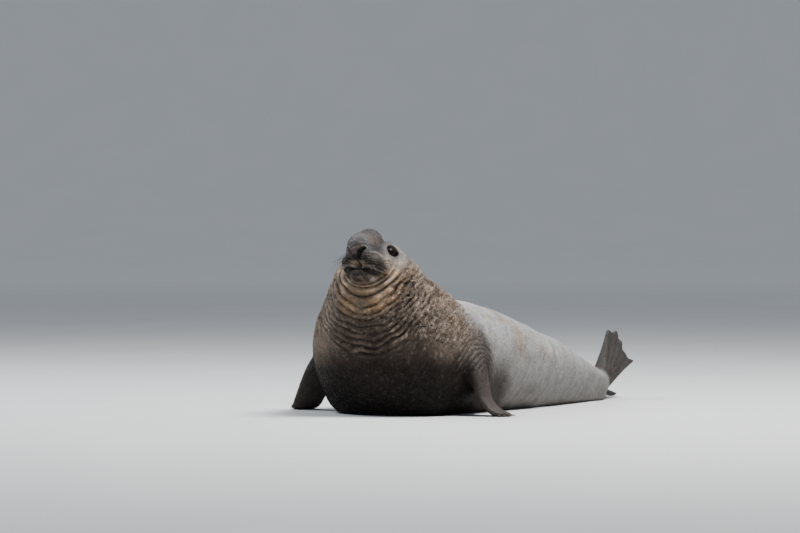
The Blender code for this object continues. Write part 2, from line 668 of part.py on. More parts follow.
def surface_net(values, origin, step):
    """A closed quad mesh where the lattice's values pass through zero, as points and triangles."""
    inside = values < 0
    corner = [(i, j, k) for i in (0, 1) for j in (0, 1) for k in (0, 1)]
    shape = tuple(n - 1 for n in values.shape)

    def shifted(array, c):
        return array[c[0] : c[0] + shape[0], c[1] : c[1] + shape[1], c[2] : c[2] + shape[2]]

    count = sum(shifted(inside, c).astype(np.int8) for c in corner)
    cell = np.nonzero((count > 0) & (count < 8))
    number = np.full(shape, -1)
    number[cell] = np.arange(len(cell[0]))
    total = np.zeros((len(cell[0]), 3))
    crossings = np.zeros(len(cell[0]))
    for a in corner:
        for axis in range(3):
            if a[axis]:
                continue
            b = tuple(1 if i == axis else a[i] for i in range(3))
            va = values[cell[0] + a[0], cell[1] + a[1], cell[2] + a[2]]
            vb = values[cell[0] + b[0], cell[1] + b[1], cell[2] + b[2]]
            cross = (va < 0) != (vb < 0)
            share = np.where(cross, va / np.where(cross, va - vb, 1.0), 0.0)
            place = np.array(a, float)[None, :] + share[:, None] * (np.arange(3) == axis)
            total += np.where(cross[:, None], place, 0.0)
            crossings += cross
    points = origin + (np.stack(cell, axis=-1) + total / crossings[:, None]) * step
    faces = []
    for axis in range(3):
        u, v = (axis + 1) % 3, (axis + 2) % 3
        front = [slice(None)] * 3
        back = [slice(None)] * 3
        front[axis], back[axis] = slice(1, None), slice(None, -1)
        change = inside[tuple(front)].astype(np.int8) - inside[tuple(back)].astype(np.int8)
        for sign in (1, -1):
            at = np.stack(np.nonzero(change == sign), axis=-1)
            at = at[(at[:, u] > 0) & (at[:, v] > 0)]
            ring = []
            for du, dv in ((1, 1), (0, 1), (0, 0), (1, 0)):
                c = at.copy()
                c[:, u] -= du
                c[:, v] -= dv
                ring.append(number[c[:, 0], c[:, 1], c[:, 2]])
            quad = np.stack(ring, axis=-1)
            quad = quad if sign == -1 else quad[:, ::-1]
            faces.append(quad[:, [0, 1, 2]])
            faces.append(quad[:, [0, 2, 3]])
    return points, np.concatenate(faces)


def gradient(distance, points, step=0.002):
    """The direction in which the distance grows, at each point."""
    ways = np.array(((1, 1, 1), (1, -1, -1), (-1, 1, -1), (-1, -1, 1)), float)
    total = sum(in_batches(distance, points + way * step)[:, None] * way for way in ways)
    return total / (4 * step)


def settled(distance, points, rounds=2):
    """The points moved onto the surface."""
    for _ in range(rounds):
        slope = gradient(distance, points)
        size = np.maximum(np.sum(slope**2, axis=1), 0.05)
        move = -(in_batches(distance, points) / size)[:, None] * slope
        length = np.linalg.norm(move, axis=1)[:, None]
        points = points + move * np.minimum(1.0, 0.02 / np.maximum(length, 1e-9))
    return points


def split_edges(points, faces, wanted):
    """Every edge longer than wanted at its middle is halved, and the triangles beside it are cut to match."""
    ends = np.sort(faces[:, [[0, 1], [1, 2], [2, 0]]].reshape(-1, 2), axis=1)
    key, index = np.unique(ends[:, 0].astype(np.int64) * len(points) + ends[:, 1], return_inverse=True)
    ends = np.stack((key // len(points), key % len(points)), axis=-1)
    middle = points[ends].mean(axis=1)
    length = np.linalg.norm(points[ends[:, 0]] - points[ends[:, 1]], axis=1)
    marked = length > wanted(middle)
    number = np.full(len(ends), -1)
    number[marked] = len(points) + np.arange(marked.sum())
    added = number[index.reshape(-1, 3)]
    count = (added >= 0).sum(axis=1)
    made = [faces[count == 0]]
    for pattern in range(1, 8):
        bits = [bool(pattern & 1), bool(pattern & 2), bool(pattern & 4)]
        rows = np.all((added >= 0) == bits, axis=1)
        if not rows.any():
            continue
        turn = {1: {1: 0, 2: 1, 4: 2}, 2: {3: 0, 6: 1, 5: 2}, 3: {7: 0}}[sum(bits)][pattern]
        f = np.roll(faces[rows], -turn, axis=1)
        m = np.roll(added[rows], -turn, axis=1)
        a, b, c = f.T
        ab, bc, ca = m.T
        if sum(bits) == 1:
            made += [np.stack(t, axis=-1) for t in ((a, ab, c), (ab, b, c))]
        elif sum(bits) == 2:
            made += [np.stack(t, axis=-1) for t in ((a, ab, c), (ab, bc, c), (ab, b, bc))]
        else:
            made += [np.stack(t, axis=-1) for t in ((a, ab, ca), (ab, b, bc), (ca, bc, c), (ab, bc, ca))]
    return np.concatenate([points, middle[marked]]), np.concatenate(made)


BODY_LOW = (-1.15, -0.75, -0.06)
BODY_HIGH = (1.15, 3.55, 1.62)
COARSE_CELL = 0.048
CELL_PARTS = 3
NECK_EDGE = 0.013
HEAD_EDGE = 0.009
EYE_EDGE = 0.005
BODY_TRIANGLES = 9900


def neck_edges(places):
    return np.where((places[:, 1] < 0.15) & (places[:, 2] > 0.45), NECK_EDGE, 1.0)


def head_edges(places):
    return np.where((places[:, 1] < 0.0) & (places[:, 2] > 1.0), HEAD_EDGE, 1.0)


def eye_edges(places):
    near = [np.linalg.norm(places - eye_axes(side)[0], axis=1) < 0.085 for side in (1, -1)]
    return np.where(near[0] | near[1], EYE_EDGE, 1.0)


def vertex_normals(points, faces):
    """Outward unit normals of the mesh at its points."""
    a, b, c = points[faces[:, 0]], points[faces[:, 1]], points[faces[:, 2]]
    normal = np.cross(b - a, c - a)
    total = np.zeros_like(points)
    for corner in range(3):
        for axis in range(3):
            total[:, axis] += np.bincount(faces[:, corner], normal[:, axis], len(points))
    return total / np.maximum(np.linalg.norm(total, axis=1), 1e-12)[:, None]


def carved_body(edge_rules):
    """The whole body's skin as points and triangles, refined by each rule and then carved."""
    values, origin, step = lattice(body_distance, BODY_LOW, BODY_HIGH, COARSE_CELL, CELL_PARTS)
    points, faces = surface_net(values, origin, step)
    points = settled(body_distance, points, 2)
    for rule in edge_rules:
        count = len(points)
        points, faces = split_edges(points, faces, rule)
        points = np.concatenate([points[:count], settled(body_distance, points[count:], 1)])
    return carve(points, vertex_normals(points, faces)), faces


def new_object(name, points, faces):
    mesh = bpy.data.meshes.new(name)
    mesh.from_pydata([tuple(point) for point in points], [], [tuple(face) for face in faces])
    mesh.update()
    made = bpy.data.objects.new(name, mesh)
    bpy.context.scene.collection.objects.link(made)
    return made


def remove(made):
    mesh = made.data
    bpy.data.objects.remove(made)
    if mesh.users == 0:
        bpy.data.meshes.remove(mesh)


def apply_modifiers(made):
    """The object's mesh replaced by what its modifiers make of it."""
    graph = bpy.context.evaluated_depsgraph_get()
    mesh = bpy.data.meshes.new_from_object(made.evaluated_get(graph))
    old = made.data
    made.modifiers.clear()
    made.data = mesh
    bpy.data.meshes.remove(old)


def thinned(made, triangles):
    modifier = made.modifiers.new("Decimate", "DECIMATE")
    modifier.ratio = triangles / len(made.data.polygons)
    apply_modifiers(made)


def combine(made, tool, operation):
    """A Boolean of the object with a tool, which is then removed."""
    modifier = made.modifiers.new("Boolean", "BOOLEAN")
    modifier.operation = operation
    modifier.solver = "MANIFOLD"
    modifier.object = tool
    apply_modifiers(made)
    remove(tool)


def tidied(made):
    """Slivers left by a cut, and edges where the surface pinches itself, are drawn together."""
    shell = bmesh.new()
    shell.from_mesh(made.data)
    for _ in range(PINCH_ROUNDS):
        bmesh.ops.remove_doubles(shell, verts=shell.verts, dist=SLIVER)
        bmesh.ops.dissolve_degenerate(shell, edges=shell.edges, dist=SLIVER)
        rim = [edge for edge in shell.edges if edge.is_boundary]
        bmesh.ops.holes_fill(shell, edges=rim, sides=4)
        bmesh.ops.triangulate(shell, faces=shell.faces)
        pinched = [edge for edge in shell.edges if len(edge.link_faces) > 2]
        if not pinched:
            break
        bmesh.ops.collapse(shell, edges=pinched)
    bmesh.ops.recalc_face_normals(shell, faces=shell.faces)
    shell.to_mesh(made.data)
    shell.free()
    return made


def flat_slab(centre, normal, reach):
    """A square slab as thick as a seam."""
    normal = Vector(normal).normalized()
    turn = normal.to_track_quat("Z", "Y").to_matrix()
    points = []
    for z in (-SEAM / 2, SEAM / 2):
        for x, y in ((-reach, -reach), (reach, -reach), (reach, reach), (-reach, reach)):
            points.append(Vector(centre) + turn @ Vector((x, y, z)))
    faces = [(0, 3, 2, 1), (4, 5, 6, 7), (0, 1, 5, 4), (1, 2, 6, 5), (2, 3, 7, 6), (3, 0, 4, 7)]
    return new_object("slab", points, faces)


# The head's cuts, in its own axes: behind the skull and under the throat, and behind the proboscis.
SKULL_CUT = ((-0.20, 0.0, 0.10), (0.872, 0.0, 0.489))
PROBOSCIS_CUT = ((0.050, 0.0, 0.120), (0.832, 0.0, 0.555))
NECK_CUT = (0.005, -0.065, 0.810)
NECK_CUT_WAY = (-0.07, 0.39, -0.92)
TRUNK_CUTS = (0.62, 1.25, 1.85, 2.36, 2.82)
SHOULDER_CUTS = (((0.700, 0.200, 0.400), (1.0, 0.0, -0.325)), ((-0.690, 0.080, 0.400), (-1.0, 0.0, -0.20)))


def head_way(direction):
    """A direction in the head's axes as a world one."""
    return np.array(direction) @ HEAD_AXES


def mouth_slab():
    """A curved slab along the mouth, back to the cut behind the skull."""
    reach_out, count_across, count_along = 0.48, 40, 18
    (cut_forward, _, cut_up), (cut_x, _, cut_z) = SKULL_CUT
    points = []
    for thickness in (-SEAM / 2, SEAM / 2):
        for left in np.linspace(-reach_out, reach_out, count_across):
            level = mouth_line(0.0, left)
            end = (cut_x * cut_forward - cut_z * (level - cut_up)) / (cut_x - cut_z * MOUTH_BACK_SLOPE)
            for forward in np.linspace(end, reach_out, count_along):
                points.append(from_head((forward, left, mouth_line(forward, left) + thickness)))
    faces = []
    layer = count_across * count_along
    for i in range(count_across - 1):
        for j in range(count_along - 1):
            a = i * count_along + j
            low = (a, a + 1, a + count_along + 1, a + count_along)
            faces.append(low)
            faces.append(tuple(layer + v for v in reversed(low)))
    rim = [i * count_along for i in range(count_across)]
    rim += [(count_across - 1) * count_along + j for j in range(1, count_along)]
    rim += [i * count_along + count_along - 1 for i in range(count_across - 2, -1, -1)]
    rim += [j for j in range(count_along - 2, 0, -1)]
    for a, b in zip(rim, rim[1:] + rim[:1]):
        faces.append((a, b, b + layer, a + layer))
    made = new_object("mouth slab", points, faces)
    shell = bmesh.new()
    shell.from_mesh(made.data)
    bmesh.ops.recalc_face_normals(shell, faces=shell.faces)
    bmesh.ops.triangulate(shell, faces=shell.faces)
    shell.to_mesh(made.data)
    shell.free()
    return made


def ball(name, centre, radius, segments=20, rings=12):
    shell = bmesh.new()
    bmesh.ops.create_uvsphere(shell, u_segments=segments, v_segments=rings, radius=radius)
    bmesh.ops.translate(shell, verts=shell.verts, vec=Vector(centre))
    mesh = bpy.data.meshes.new(name)
    shell.to_mesh(mesh)
    shell.free()
    made = bpy.data.objects.new(name, mesh)
    bpy.context.scene.collection.objects.link(made)
    return made


def loose_parts(made):
    """The object's separate closed pieces as points and faces."""
    mesh = made.data
    points = np.array([v.co[:] for v in mesh.vertices])
    label = np.arange(len(points))
    ends = np.array([e.vertices[:] for e in mesh.edges])
    while True:
        low = np.minimum(label[ends[:, 0]], label[ends[:, 1]])
        fresh = label.copy()
        np.minimum.at(fresh, ends[:, 0], low)
        np.minimum.at(fresh, ends[:, 1], low)
        fresh = fresh[fresh]
        if np.array_equal(fresh, label):
            break
        label = fresh
    faces = [tuple(polygon.vertices) for polygon in mesh.polygons]
    owner = label[[face[0] for face in faces]]
    parts = []
    for piece in np.unique(label):
        rows = np.nonzero(label == piece)[0]
        number = np.full(len(points), -1)
        number[rows] = np.arange(len(rows))
        own = [tuple(int(number[v]) for v in faces[i]) for i in np.nonzero(owner == piece)[0]]
        parts.append((points[rows], own))
    return parts


# Where each node's middle lies, to tell the cut pieces apart.
NODE_PLACES = {
    "proboscis": tuple(from_head((0.22, 0.0, -0.03))),
    "head": tuple(from_head((-0.02, 0.0, -0.09))),
    "lower_jaw": tuple(from_head((0.08, 0.0, -0.30))),
    "neck": (0.02, -0.10, 0.92),
    "chest": (0.0, 0.10, 0.40),
    "torso": (0.0, 0.93, 0.38),
    "loin": (0.0, 1.55, 0.28),
    "hips": (0.0, 2.10, 0.20),
    "tail_root": (0.0, 2.57, 0.15),
    "tail": (0.0, 2.88, 0.17),
    "fore_flipper_left": (0.80, 0.20, 0.15),
    "fore_flipper_right": (-0.85, 0.04, 0.20),
    "hind_flipper_left": (0.12, 2.88, 0.34),
    "hind_flipper_right": (-0.22, 2.97, 0.08),
}
COLOURS = {
    "proboscis": (0.20, 0.18, 0.17),
    "head": (0.25, 0.22, 0.20),
    "lower_jaw": (0.16, 0.13, 0.12),
    "neck": (0.27, 0.21, 0.16),
    "chest": (0.15, 0.12, 0.10),
    "torso": (0.26, 0.24, 0.22),
    "loin": (0.30, 0.28, 0.26),
    "hips": (0.30, 0.28, 0.26),
    "tail_root": (0.28, 0.26, 0.24),
    "tail": (0.24, 0.22, 0.20),
    "fore_flipper_left": (0.18, 0.16, 0.14),
    "fore_flipper_right": (0.18, 0.16, 0.14),
    "hind_flipper_left": (0.14, 0.13, 0.12),
    "hind_flipper_right": (0.14, 0.13, 0.12),
    "eye_left": (0.010, 0.008, 0.007),
    "eye_right": (0.010, 0.008, 0.007),
}


CLAW_ANGLES = (-52.0, -30.0, -8.0, 14.0, 36.0)
CLAW_HEART = 0.10
CLAW_SUNK = 0.024
CLAW_OUT = 0.030
CLAW_RADIUS = 0.0085
CLAW_SIDES = 8


def claw_path(limb, degrees):
    """Root, middle and tip of one claw of a fore flipper, so many degrees round from straight ahead."""
    ahead = limb.along[-1] * (1.0, 1.0, 0.0)
    ahead = ahead / np.linalg.norm(ahead)
    across = np.array((-ahead[1], ahead[0], 0.0))
    angle = math.radians(degrees)
    way = ahead * math.cos(angle) + across * math.sin(angle)
    heart = limb.axis[-1] - ahead * CLAW_HEART
    heart[2] = CLAW_RADIUS * 2.0
    steps = np.linspace(0.0, 0.25, 126)
    inside = body_distance(heart + way * steps[:, None]) < 0
    edge = steps[np.argmin(inside)]
    root = heart + way * (edge - CLAW_SUNK)
    middle = heart + way * (edge + 0.2 * CLAW_OUT) + (0.0, 0.0, 0.2 * CLAW_RADIUS)
    tip = heart + way * (edge + CLAW_OUT) - (0.0, 0.0, CLAW_RADIUS)
    return root, middle, tip


def claw(path):
    """A curved, closed horn that tapers from its root to its tip."""
    root, middle, tip = path
    way = (tip - root) / np.linalg.norm(tip - root)
    across = np.cross(way, (0.0, 0.0, 1.0))
    across = across / np.linalg.norm(across)
    upward = np.cross(way, across)
    shares = (0.0, 0.35, 0.65, 0.88)
    points = []
    for share in shares:
        centre = root * (1 - share) ** 2 + middle * 2 * share * (1 - share) + tip * share**2
        radius = CLAW_RADIUS * (1.0 - share**2) ** 0.5
        for k in range(CLAW_SIDES):
            angle = 2.0 * math.pi * k / CLAW_SIDES
            points.append(centre + radius * (across * math.cos(angle) + upward * math.sin(angle)))
    points.append(tip)
    faces = [tuple(reversed(range(CLAW_SIDES)))]
    for ring in range(len(shares) - 1):
        for k in range(CLAW_SIDES):
            a, b = ring * CLAW_SIDES + k, ring * CLAW_SIDES + (k + 1) % CLAW_SIDES
            faces.append((a, b, b + CLAW_SIDES, a + CLAW_SIDES))
    last = (len(shares) - 1) * CLAW_SIDES
    faces += [(last + k, last + (k + 1) % CLAW_SIDES, len(points) - 1) for k in range(CLAW_SIDES)]
    return new_object("claw", points, faces)


def add_claws(flipper, limb):
    """Five claws fused to the fingertips of a fore flipper."""
    claws = bpy.data.collections.new("claws")
    for degrees in CLAW_ANGLES:
        claws.objects.link(claw(claw_path(limb, degrees)))
    modifier = flipper.modifiers.new("Claws", "BOOLEAN")
    modifier.operation = "UNION"
    modifier.solver = "MANIFOLD"
    modifier.operand_type = "COLLECTION"
    modifier.collection = claws
    apply_modifiers(flipper)
    for made in list(claws.objects):
        remove(made)
    bpy.data.collections.remove(claws)


def stand_at_origin():
    """The whole seal moved level so that the middle of its box is over the origin."""
    seal = list(bpy.context.scene.collection.objects)
    corners = np.array([vertex.co[:] for made in seal for vertex in made.data.vertices])
    middle = (corners.min(axis=0) + corners.max(axis=0)) / 2
    for made in seal:
        for vertex in made.data.vertices:
            vertex.co -= Vector((middle[0], middle[1], 0.0))
        made.data.update()


def dress(made, name):
    """Name, plain colour and smooth shading."""
    made.name = name
    made.data.name = name
    material = bpy.data.materials.new(name)
    material.use_nodes = True
    shader = material.node_tree.nodes["Principled BSDF"]
    shader.inputs["Base Color"].default_value = (*COLOURS[name], 1.0)
    shader.inputs["Roughness"].default_value = 0.15 if name.startswith("eye") else 0.6
    made.data.materials.clear()
    made.data.materials.append(material)
    for polygon in made.data.polygons:
        polygon.use_smooth = True


def main():
    for old in list(bpy.data.objects):
        bpy.data.objects.remove(old)
    points, faces = carved_body((neck_edges, head_edges, eye_edges))
    body = new_object("body", points, faces)
    thinned(body, BODY_TRIANGLES)
    tidied(body)
    slabs = [
        flat_slab(from_head(SKULL_CUT[0]), head_way(SKULL_CUT[1]), 0.9),
        flat_slab(from_head(PROBOSCIS_CUT[0]), head_way(PROBOSCIS_CUT[1]), 0.6),
        flat_slab(NECK_CUT, NECK_CUT_WAY, 0.9),
    ]
    slabs += [flat_slab((0.0, place, 0.4), (0.0, 1.0, 0.0), 1.2) for place in TRUNK_CUTS]
    slabs += [flat_slab(place, normal, 0.45) for place, normal in SHOULDER_CUTS]
    slabs.append(mouth_slab())
    for slab in slabs:
        combine(body, slab, "DIFFERENCE")
    for side in (1, -1):
        combine(body, ball("socket", eye_axes(side)[0], EYEBALL + SEAM), "DIFFERENCE")
    parts = loose_parts(body)
    remove(body)
    names = list(NODE_PLACES)
    middles = np.array([NODE_PLACES[name] for name in names])
    for points, faces in parts:
        middle = (points.min(axis=0) + points.max(axis=0)) / 2
        away = np.linalg.norm(middles - middle, axis=1)
        dress(tidied(new_object("piece", points, faces)), names[int(away.argmin())])
    for side, name in ((1, "eye_left"), (-1, "eye_right")):
        dress(ball(name, eye_axes(side)[0], EYEBALL), name)
    add_claws(bpy.data.objects["fore_flipper_left"], LEFT_FORE)
    add_claws(bpy.data.objects["fore_flipper_right"], RIGHT_FORE)
    stand_at_origin()


if __name__ == "__main__":
    main()
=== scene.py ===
# A bull southern elephant seal, life size, with its skin, short coat, whiskers, claws and eyes.
# Metres, +Z up. The seal faces -Y and its own left side is +X.
import math
from collections import namedtuple

import bmesh
import bpy
import numpy as np
from mathutils import Matrix, Vector


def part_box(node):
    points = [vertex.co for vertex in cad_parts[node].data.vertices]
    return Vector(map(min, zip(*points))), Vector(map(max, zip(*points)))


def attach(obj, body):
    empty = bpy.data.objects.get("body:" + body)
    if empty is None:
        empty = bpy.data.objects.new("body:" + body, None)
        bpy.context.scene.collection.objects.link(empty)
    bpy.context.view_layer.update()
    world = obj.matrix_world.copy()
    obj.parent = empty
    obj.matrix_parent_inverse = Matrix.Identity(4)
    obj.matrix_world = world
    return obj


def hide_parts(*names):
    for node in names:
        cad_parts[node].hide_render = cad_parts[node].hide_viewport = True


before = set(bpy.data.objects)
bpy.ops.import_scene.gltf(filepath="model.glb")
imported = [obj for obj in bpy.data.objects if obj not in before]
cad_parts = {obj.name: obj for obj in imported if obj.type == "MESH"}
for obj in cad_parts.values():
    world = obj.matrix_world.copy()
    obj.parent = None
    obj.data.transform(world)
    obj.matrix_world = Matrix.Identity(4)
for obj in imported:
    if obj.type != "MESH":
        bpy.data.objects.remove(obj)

# Driving dimensions
EYES_MIDDLE = (0.086, -0.297, 1.279)
HEAD_TURN = math.radians(5.0)
HEAD_LIFT = math.radians(24.5)
EYEBALL = 0.053
EYE_PLACE = (0.009, 0.100, -0.017)
EYE_GAZE = (0.428, 0.876, 0.224)
EYE_LENGTH_WAY = (-0.878, 0.462, -0.127)
EYE_OPENING = (0.054, 0.030)
LID = 0.003
FLOOR_ROUNDING = 0.035
FLOOR_PRESS = 0.011
PRESSED_BELOW = 0.035

# Stations of the neck, from the skull down into the chest, and of the trunk, from the breast to the tail tip:
# where the axis runs, which way the body faces there (degrees to the left of -Y), and its half width, back
# height and belly depth round the axis.
NECK_STATIONS = (
    # x, y, z, facing, half width, back, belly
    (0.022, -0.215, 1.122, 11.0, 0.350, 0.168, 0.335),  # jowls
    (0.012, -0.180, 1.036, 12.0, 0.408, 0.195, 0.425),  # nape
    (0.004, -0.100, 0.853, 12.0, 0.560, 0.292, 0.520),  # neck
    (-0.005, -0.010, 0.660, 12.0, 0.650, 0.380, 0.560),  # shoulders
    (-0.015, 0.090, 0.420, 11.0, 0.655, 0.400, 0.560),  # breast
    (-0.025, 0.160, 0.250, 11.0, 0.610, 0.400, 0.530),  # under the breast
)
TRUNK_STATIONS = (
    # x, y, z, facing, half width, back, belly
    (-0.015, 0.120, 0.400, 11.0, 0.600, 0.385, 0.500),  # inside the breast
    (-0.010, 0.360, 0.425, 8.0, 0.640, 0.462, 0.545),  # chest
    (0.000, 0.850, 0.415, 3.0, 0.615, 0.425, 0.515),  # ribs
    (0.000, 1.400, 0.345, 0.0, 0.540, 0.325, 0.445),  # belly
    (0.000, 1.930, 0.275, 0.0, 0.425, 0.240, 0.365),  # loin
    (0.000, 2.340, 0.200, 0.0, 0.320, 0.150, 0.275),  # hips
    (0.000, 2.640, 0.155, 0.0, 0.215, 0.080, 0.185),  # ankles
    (0.000, 2.750, 0.165, 0.0, 0.080, 0.060, 0.085),  # tail root
    (0.000, 2.910, 0.180, 0.0, 0.032, 0.026, 0.030),  # tail tip
)

# The head's swellings, in the head's own axes: forward, left, up from the middle between the eyes.
# A left of 0 is on the midline, any other is made on both sides.
HEAD_SWELLINGS = (
    # forward, left, up, then the three radii, then how far it blends
    (-0.150, 0.000, -0.055, 0.240, 0.165, 0.150, 0.060),  # cranium
    (-0.130, 0.090, -0.165, 0.190, 0.105, 0.125, 0.070),  # cheeks
    (-0.010, 0.080, 0.026, 0.085, 0.060, 0.052, 0.045),  # brows
    (-0.095, 0.095, -0.020, 0.120, 0.062, 0.085, 0.060),  # temples
    (0.030, 0.080, -0.062, 0.110, 0.062, 0.075, 0.060),  # below the eyes
    (0.080, 0.000, -0.125, 0.158, 0.146, 0.095, 0.060),  # upper jaw
    (0.160, 0.098, -0.182, 0.110, 0.086, 0.072, 0.045),  # whisker pads
    (0.100, 0.126, -0.208, 0.095, 0.058, 0.040, 0.035),  # lips at the corners of the mouth
    (0.055, 0.000, -0.270, 0.168, 0.116, 0.054, 0.030),  # lower jaw
    (0.165, 0.000, -0.280, 0.080, 0.080, 0.050, 0.025),  # chin
    (0.150, 0.000, 0.010, 0.122, 0.102, 0.112, 0.040),  # hump of the proboscis
    (0.226, 0.000, -0.054, 0.114, 0.134, 0.114, 0.040),  # front of the proboscis
    (0.240, 0.000, -0.120, 0.086, 0.122, 0.062, 0.030),  # its tip
)


def row_lengths(rows):
    """The length of each row's vector."""
    return np.linalg.norm(rows, axis=1)


def unit(rows):
    """The rows' vectors made one long."""
    return rows / row_lengths(rows)[:, None]


def smooth_union(a, b, blend):
    """The nearer of two distances, rounded where they meet."""
    share = np.clip(0.5 + 0.5 * (b - a) / blend, 0.0, 1.0)
    return b + (a - b) * share - blend * share * (1.0 - share)


def ellipsoid(points, centre, radii):
    """Close to the distance from an ellipsoid."""
    offset = points - np.array(centre)
    radii = np.array(radii)
    outer = row_lengths(offset / radii)
    inner = row_lengths(offset / radii**2) + 1e-9
    return outer * (outer - 1.0) / inner


def smooth_rows(rows, spacing):
    """Rows read off a smooth curve through the given rows, evenly along their first three columns."""
    rows = np.array(rows, float)
    place = np.concatenate([[0.0], np.cumsum(row_lengths(np.diff(rows[:, :3], axis=0)))])
    slope = np.gradient(rows, place, axis=0)
    wanted = np.linspace(0.0, place[-1], int(place[-1] / spacing) + 2)
    left = np.clip(np.searchsorted(place, wanted, side="right") - 1, 0, len(place) - 2)
    span = (place[left + 1] - place[left])[:, None]
    t = (wanted[:, None] - place[left][:, None]) / span
    start, end = rows[left], rows[left + 1]
    return (
        start * (2 * t**3 - 3 * t**2 + 1)
        + end * (3 * t**2 - 2 * t**3)
        + slope[left] * span * (t**3 - 2 * t**2 + t)
        + slope[left + 1] * span * (t**3 - t**2)
    )


class Sweep:
    """A body swept along a smooth axis, with a rounded section whose half width, back and belly vary."""

    def __init__(self, rows, spacing, squareness=2.0, bluntness=1.0):
        # A row is x, y, z, side x, side y, side z, half width, back, belly.
        table = smooth_rows(rows, spacing)
        self.axis = table[:, :3]
        step = np.gradient(self.axis, axis=0)
        self.along = unit(step)
        self.place = np.concatenate([[0.0], np.cumsum(row_lengths(np.diff(self.axis, axis=0)))])
        side = table[:, 3:6]
        side = side - self.along * np.sum(side * self.along, axis=1)[:, None]
        self.side = unit(side)
        self.table = np.concatenate([self.axis, self.side, self.along, table[:, 6:9]], axis=1)
        self.squareness = squareness
        self.bluntness = bluntness

    def locate(self, points):
        """Each point's nearest place, how far it is past an end, aside and up, and the sizes there."""
        last = len(self.axis) - 1
        near = np.argmin(np.sum(self.axis**2, axis=1)[None, :] - 2.0 * (points @ self.axis.T), axis=1)
        ahead = np.sum((points - self.axis[near]) * self.along[near], axis=1)
        other = np.clip(near + np.where(ahead > 0, 1, -1), 0, last)
        gap = np.abs(self.place[other] - self.place[near])
        share = np.where(gap > 0, np.clip(np.abs(ahead) / np.maximum(gap, 1e-9), 0.0, 1.0), 0.0)[:, None]
        blended = self.table[near] * (1.0 - share) + self.table[other] * share
        axis, side, along, size = blended[:, :3], blended[:, 3:6], blended[:, 6:9], blended[:, 9:12]
        offset = points - axis
        across = np.sum(offset * side, axis=1)
        up = np.sum(offset * np.cross(side, along), axis=1)
        beyond = np.where(gap > 0, 0.0, np.sum(offset * along, axis=1))
        return self.place[near] + ahead, beyond, across, up, size

    def distance(self, points):
        _, beyond, across, up, size = self.locate(points)
        half, back, belly = size.T
        tall = np.where(up > 0, back, belly)
        cap = np.minimum(half, (back + belly) / 2) / self.bluntness
        power = self.squareness
        reach = np.sqrt(across**2 + up**2 + beyond**2) + 1e-9
        spread = np.abs(across / half) ** power + np.abs(up / tall) ** power + np.abs(beyond / cap) ** power
        measure = np.maximum(spread, 1e-9) ** (1.0 / power)
        return reach - reach / measure


def facing_side(degrees):
    """The level direction to the left of a body that faces so many degrees to the left of -Y."""
    turn = math.radians(degrees)
    return (math.cos(turn), math.sin(turn), 0.0)


def body_rows(stations):
    return [row[:3] + facing_side(row[3]) + row[4:] for row in stations]


NECK = Sweep(body_rows(NECK_STATIONS), 0.02, 2.15, 2.2)
TRUNK = Sweep(body_rows(TRUNK_STATIONS), 0.02, 2.3)

HEAD_FORWARD = np.array(
    (
        math.cos(HEAD_LIFT) * math.sin(HEAD_TURN),
        -math.cos(HEAD_LIFT) * math.cos(HEAD_TURN),
        math.sin(HEAD_LIFT),
    )
)
HEAD_LEFT = np.array(facing_side(math.degrees(HEAD_TURN)))
HEAD_UP = np.cross(HEAD_FORWARD, HEAD_LEFT)
HEAD_AXES = np.array((HEAD_FORWARD, HEAD_LEFT, HEAD_UP))


def to_head(points):
    """World points in the head's axes."""
    return (points - np.array(EYES_MIDDLE)) @ HEAD_AXES.T


def head_place(points):
    """How far forward, aside and up each point is in the head's axes, without telling left from right."""
    forward, left, up = to_head(points).T
    return forward, np.abs(left), up


def from_head(place):
    """A place in the head's axes as a world point."""
    return np.array(EYES_MIDDLE) + np.array(place) @ HEAD_AXES


def head_distance(points):
    """The head without its openings."""
    local = to_head(points)
    folded = local * (1.0, 0.0, 1.0) + np.abs(local) * (0.0, 1.0, 0.0)
    found = None
    for forward, left, up, length, width, height, blend in HEAD_SWELLINGS:
        here = ellipsoid(local if left == 0 else folded, (forward, left, up), (length, width, height))
        found = here if found is None else smooth_union(found, here, blend)
    return found


# Fore flippers: where the limb runs, from inside the shoulder to the fingertips, its half breadth from the
# leading edge to the trailing edge, and half its thickness.
LEFT_FORE_STATIONS = (
    # x, y, z, half breadth, half thickness
    (0.420, 0.220, 0.520, 0.150, 0.110),
    (0.640, 0.200, 0.420, 0.150, 0.085),  # elbow
    (0.710, 0.190, 0.260, 0.140, 0.066),
    (0.760, 0.190, 0.120, 0.128, 0.052),  # wrist
    (0.830, 0.200, 0.050, 0.115, 0.040),
    (0.905, 0.205, 0.024, 0.095, 0.027),
    (0.965, 0.210, 0.018, 0.050, 0.018),  # fingertips
)
RIGHT_FORE_STATIONS = (
    (-0.420, 0.200, 0.520, 0.150, 0.110),
    (-0.690, 0.080, 0.420, 0.150, 0.085),
    (-0.790, 0.030, 0.260, 0.140, 0.066),
    (-0.860, 0.010, 0.110, 0.132, 0.052),
    (-0.905, 0.020, 0.045, 0.128, 0.040),
    (-0.980, 0.060, 0.024, 0.100, 0.027),
    (-1.040, 0.090, 0.018, 0.050, 0.018),
)
FORE_BREADTH_WAY = (0.42, 0.90, 0.0)


def fore_rows(stations, side):
    """side is 1 for the left flipper and -1 for the right."""
    breadth = (-side * FORE_BREADTH_WAY[0],) + FORE_BREADTH_WAY[1:]
    return [row[:3] + breadth + (row[3], row[4], row[4]) for row in stations]


LEFT_FORE = Sweep(fore_rows(LEFT_FORE_STATIONS, 1), 0.02)
RIGHT_FORE = Sweep(fore_rows(RIGHT_FORE_STATIONS, -1), 0.02)


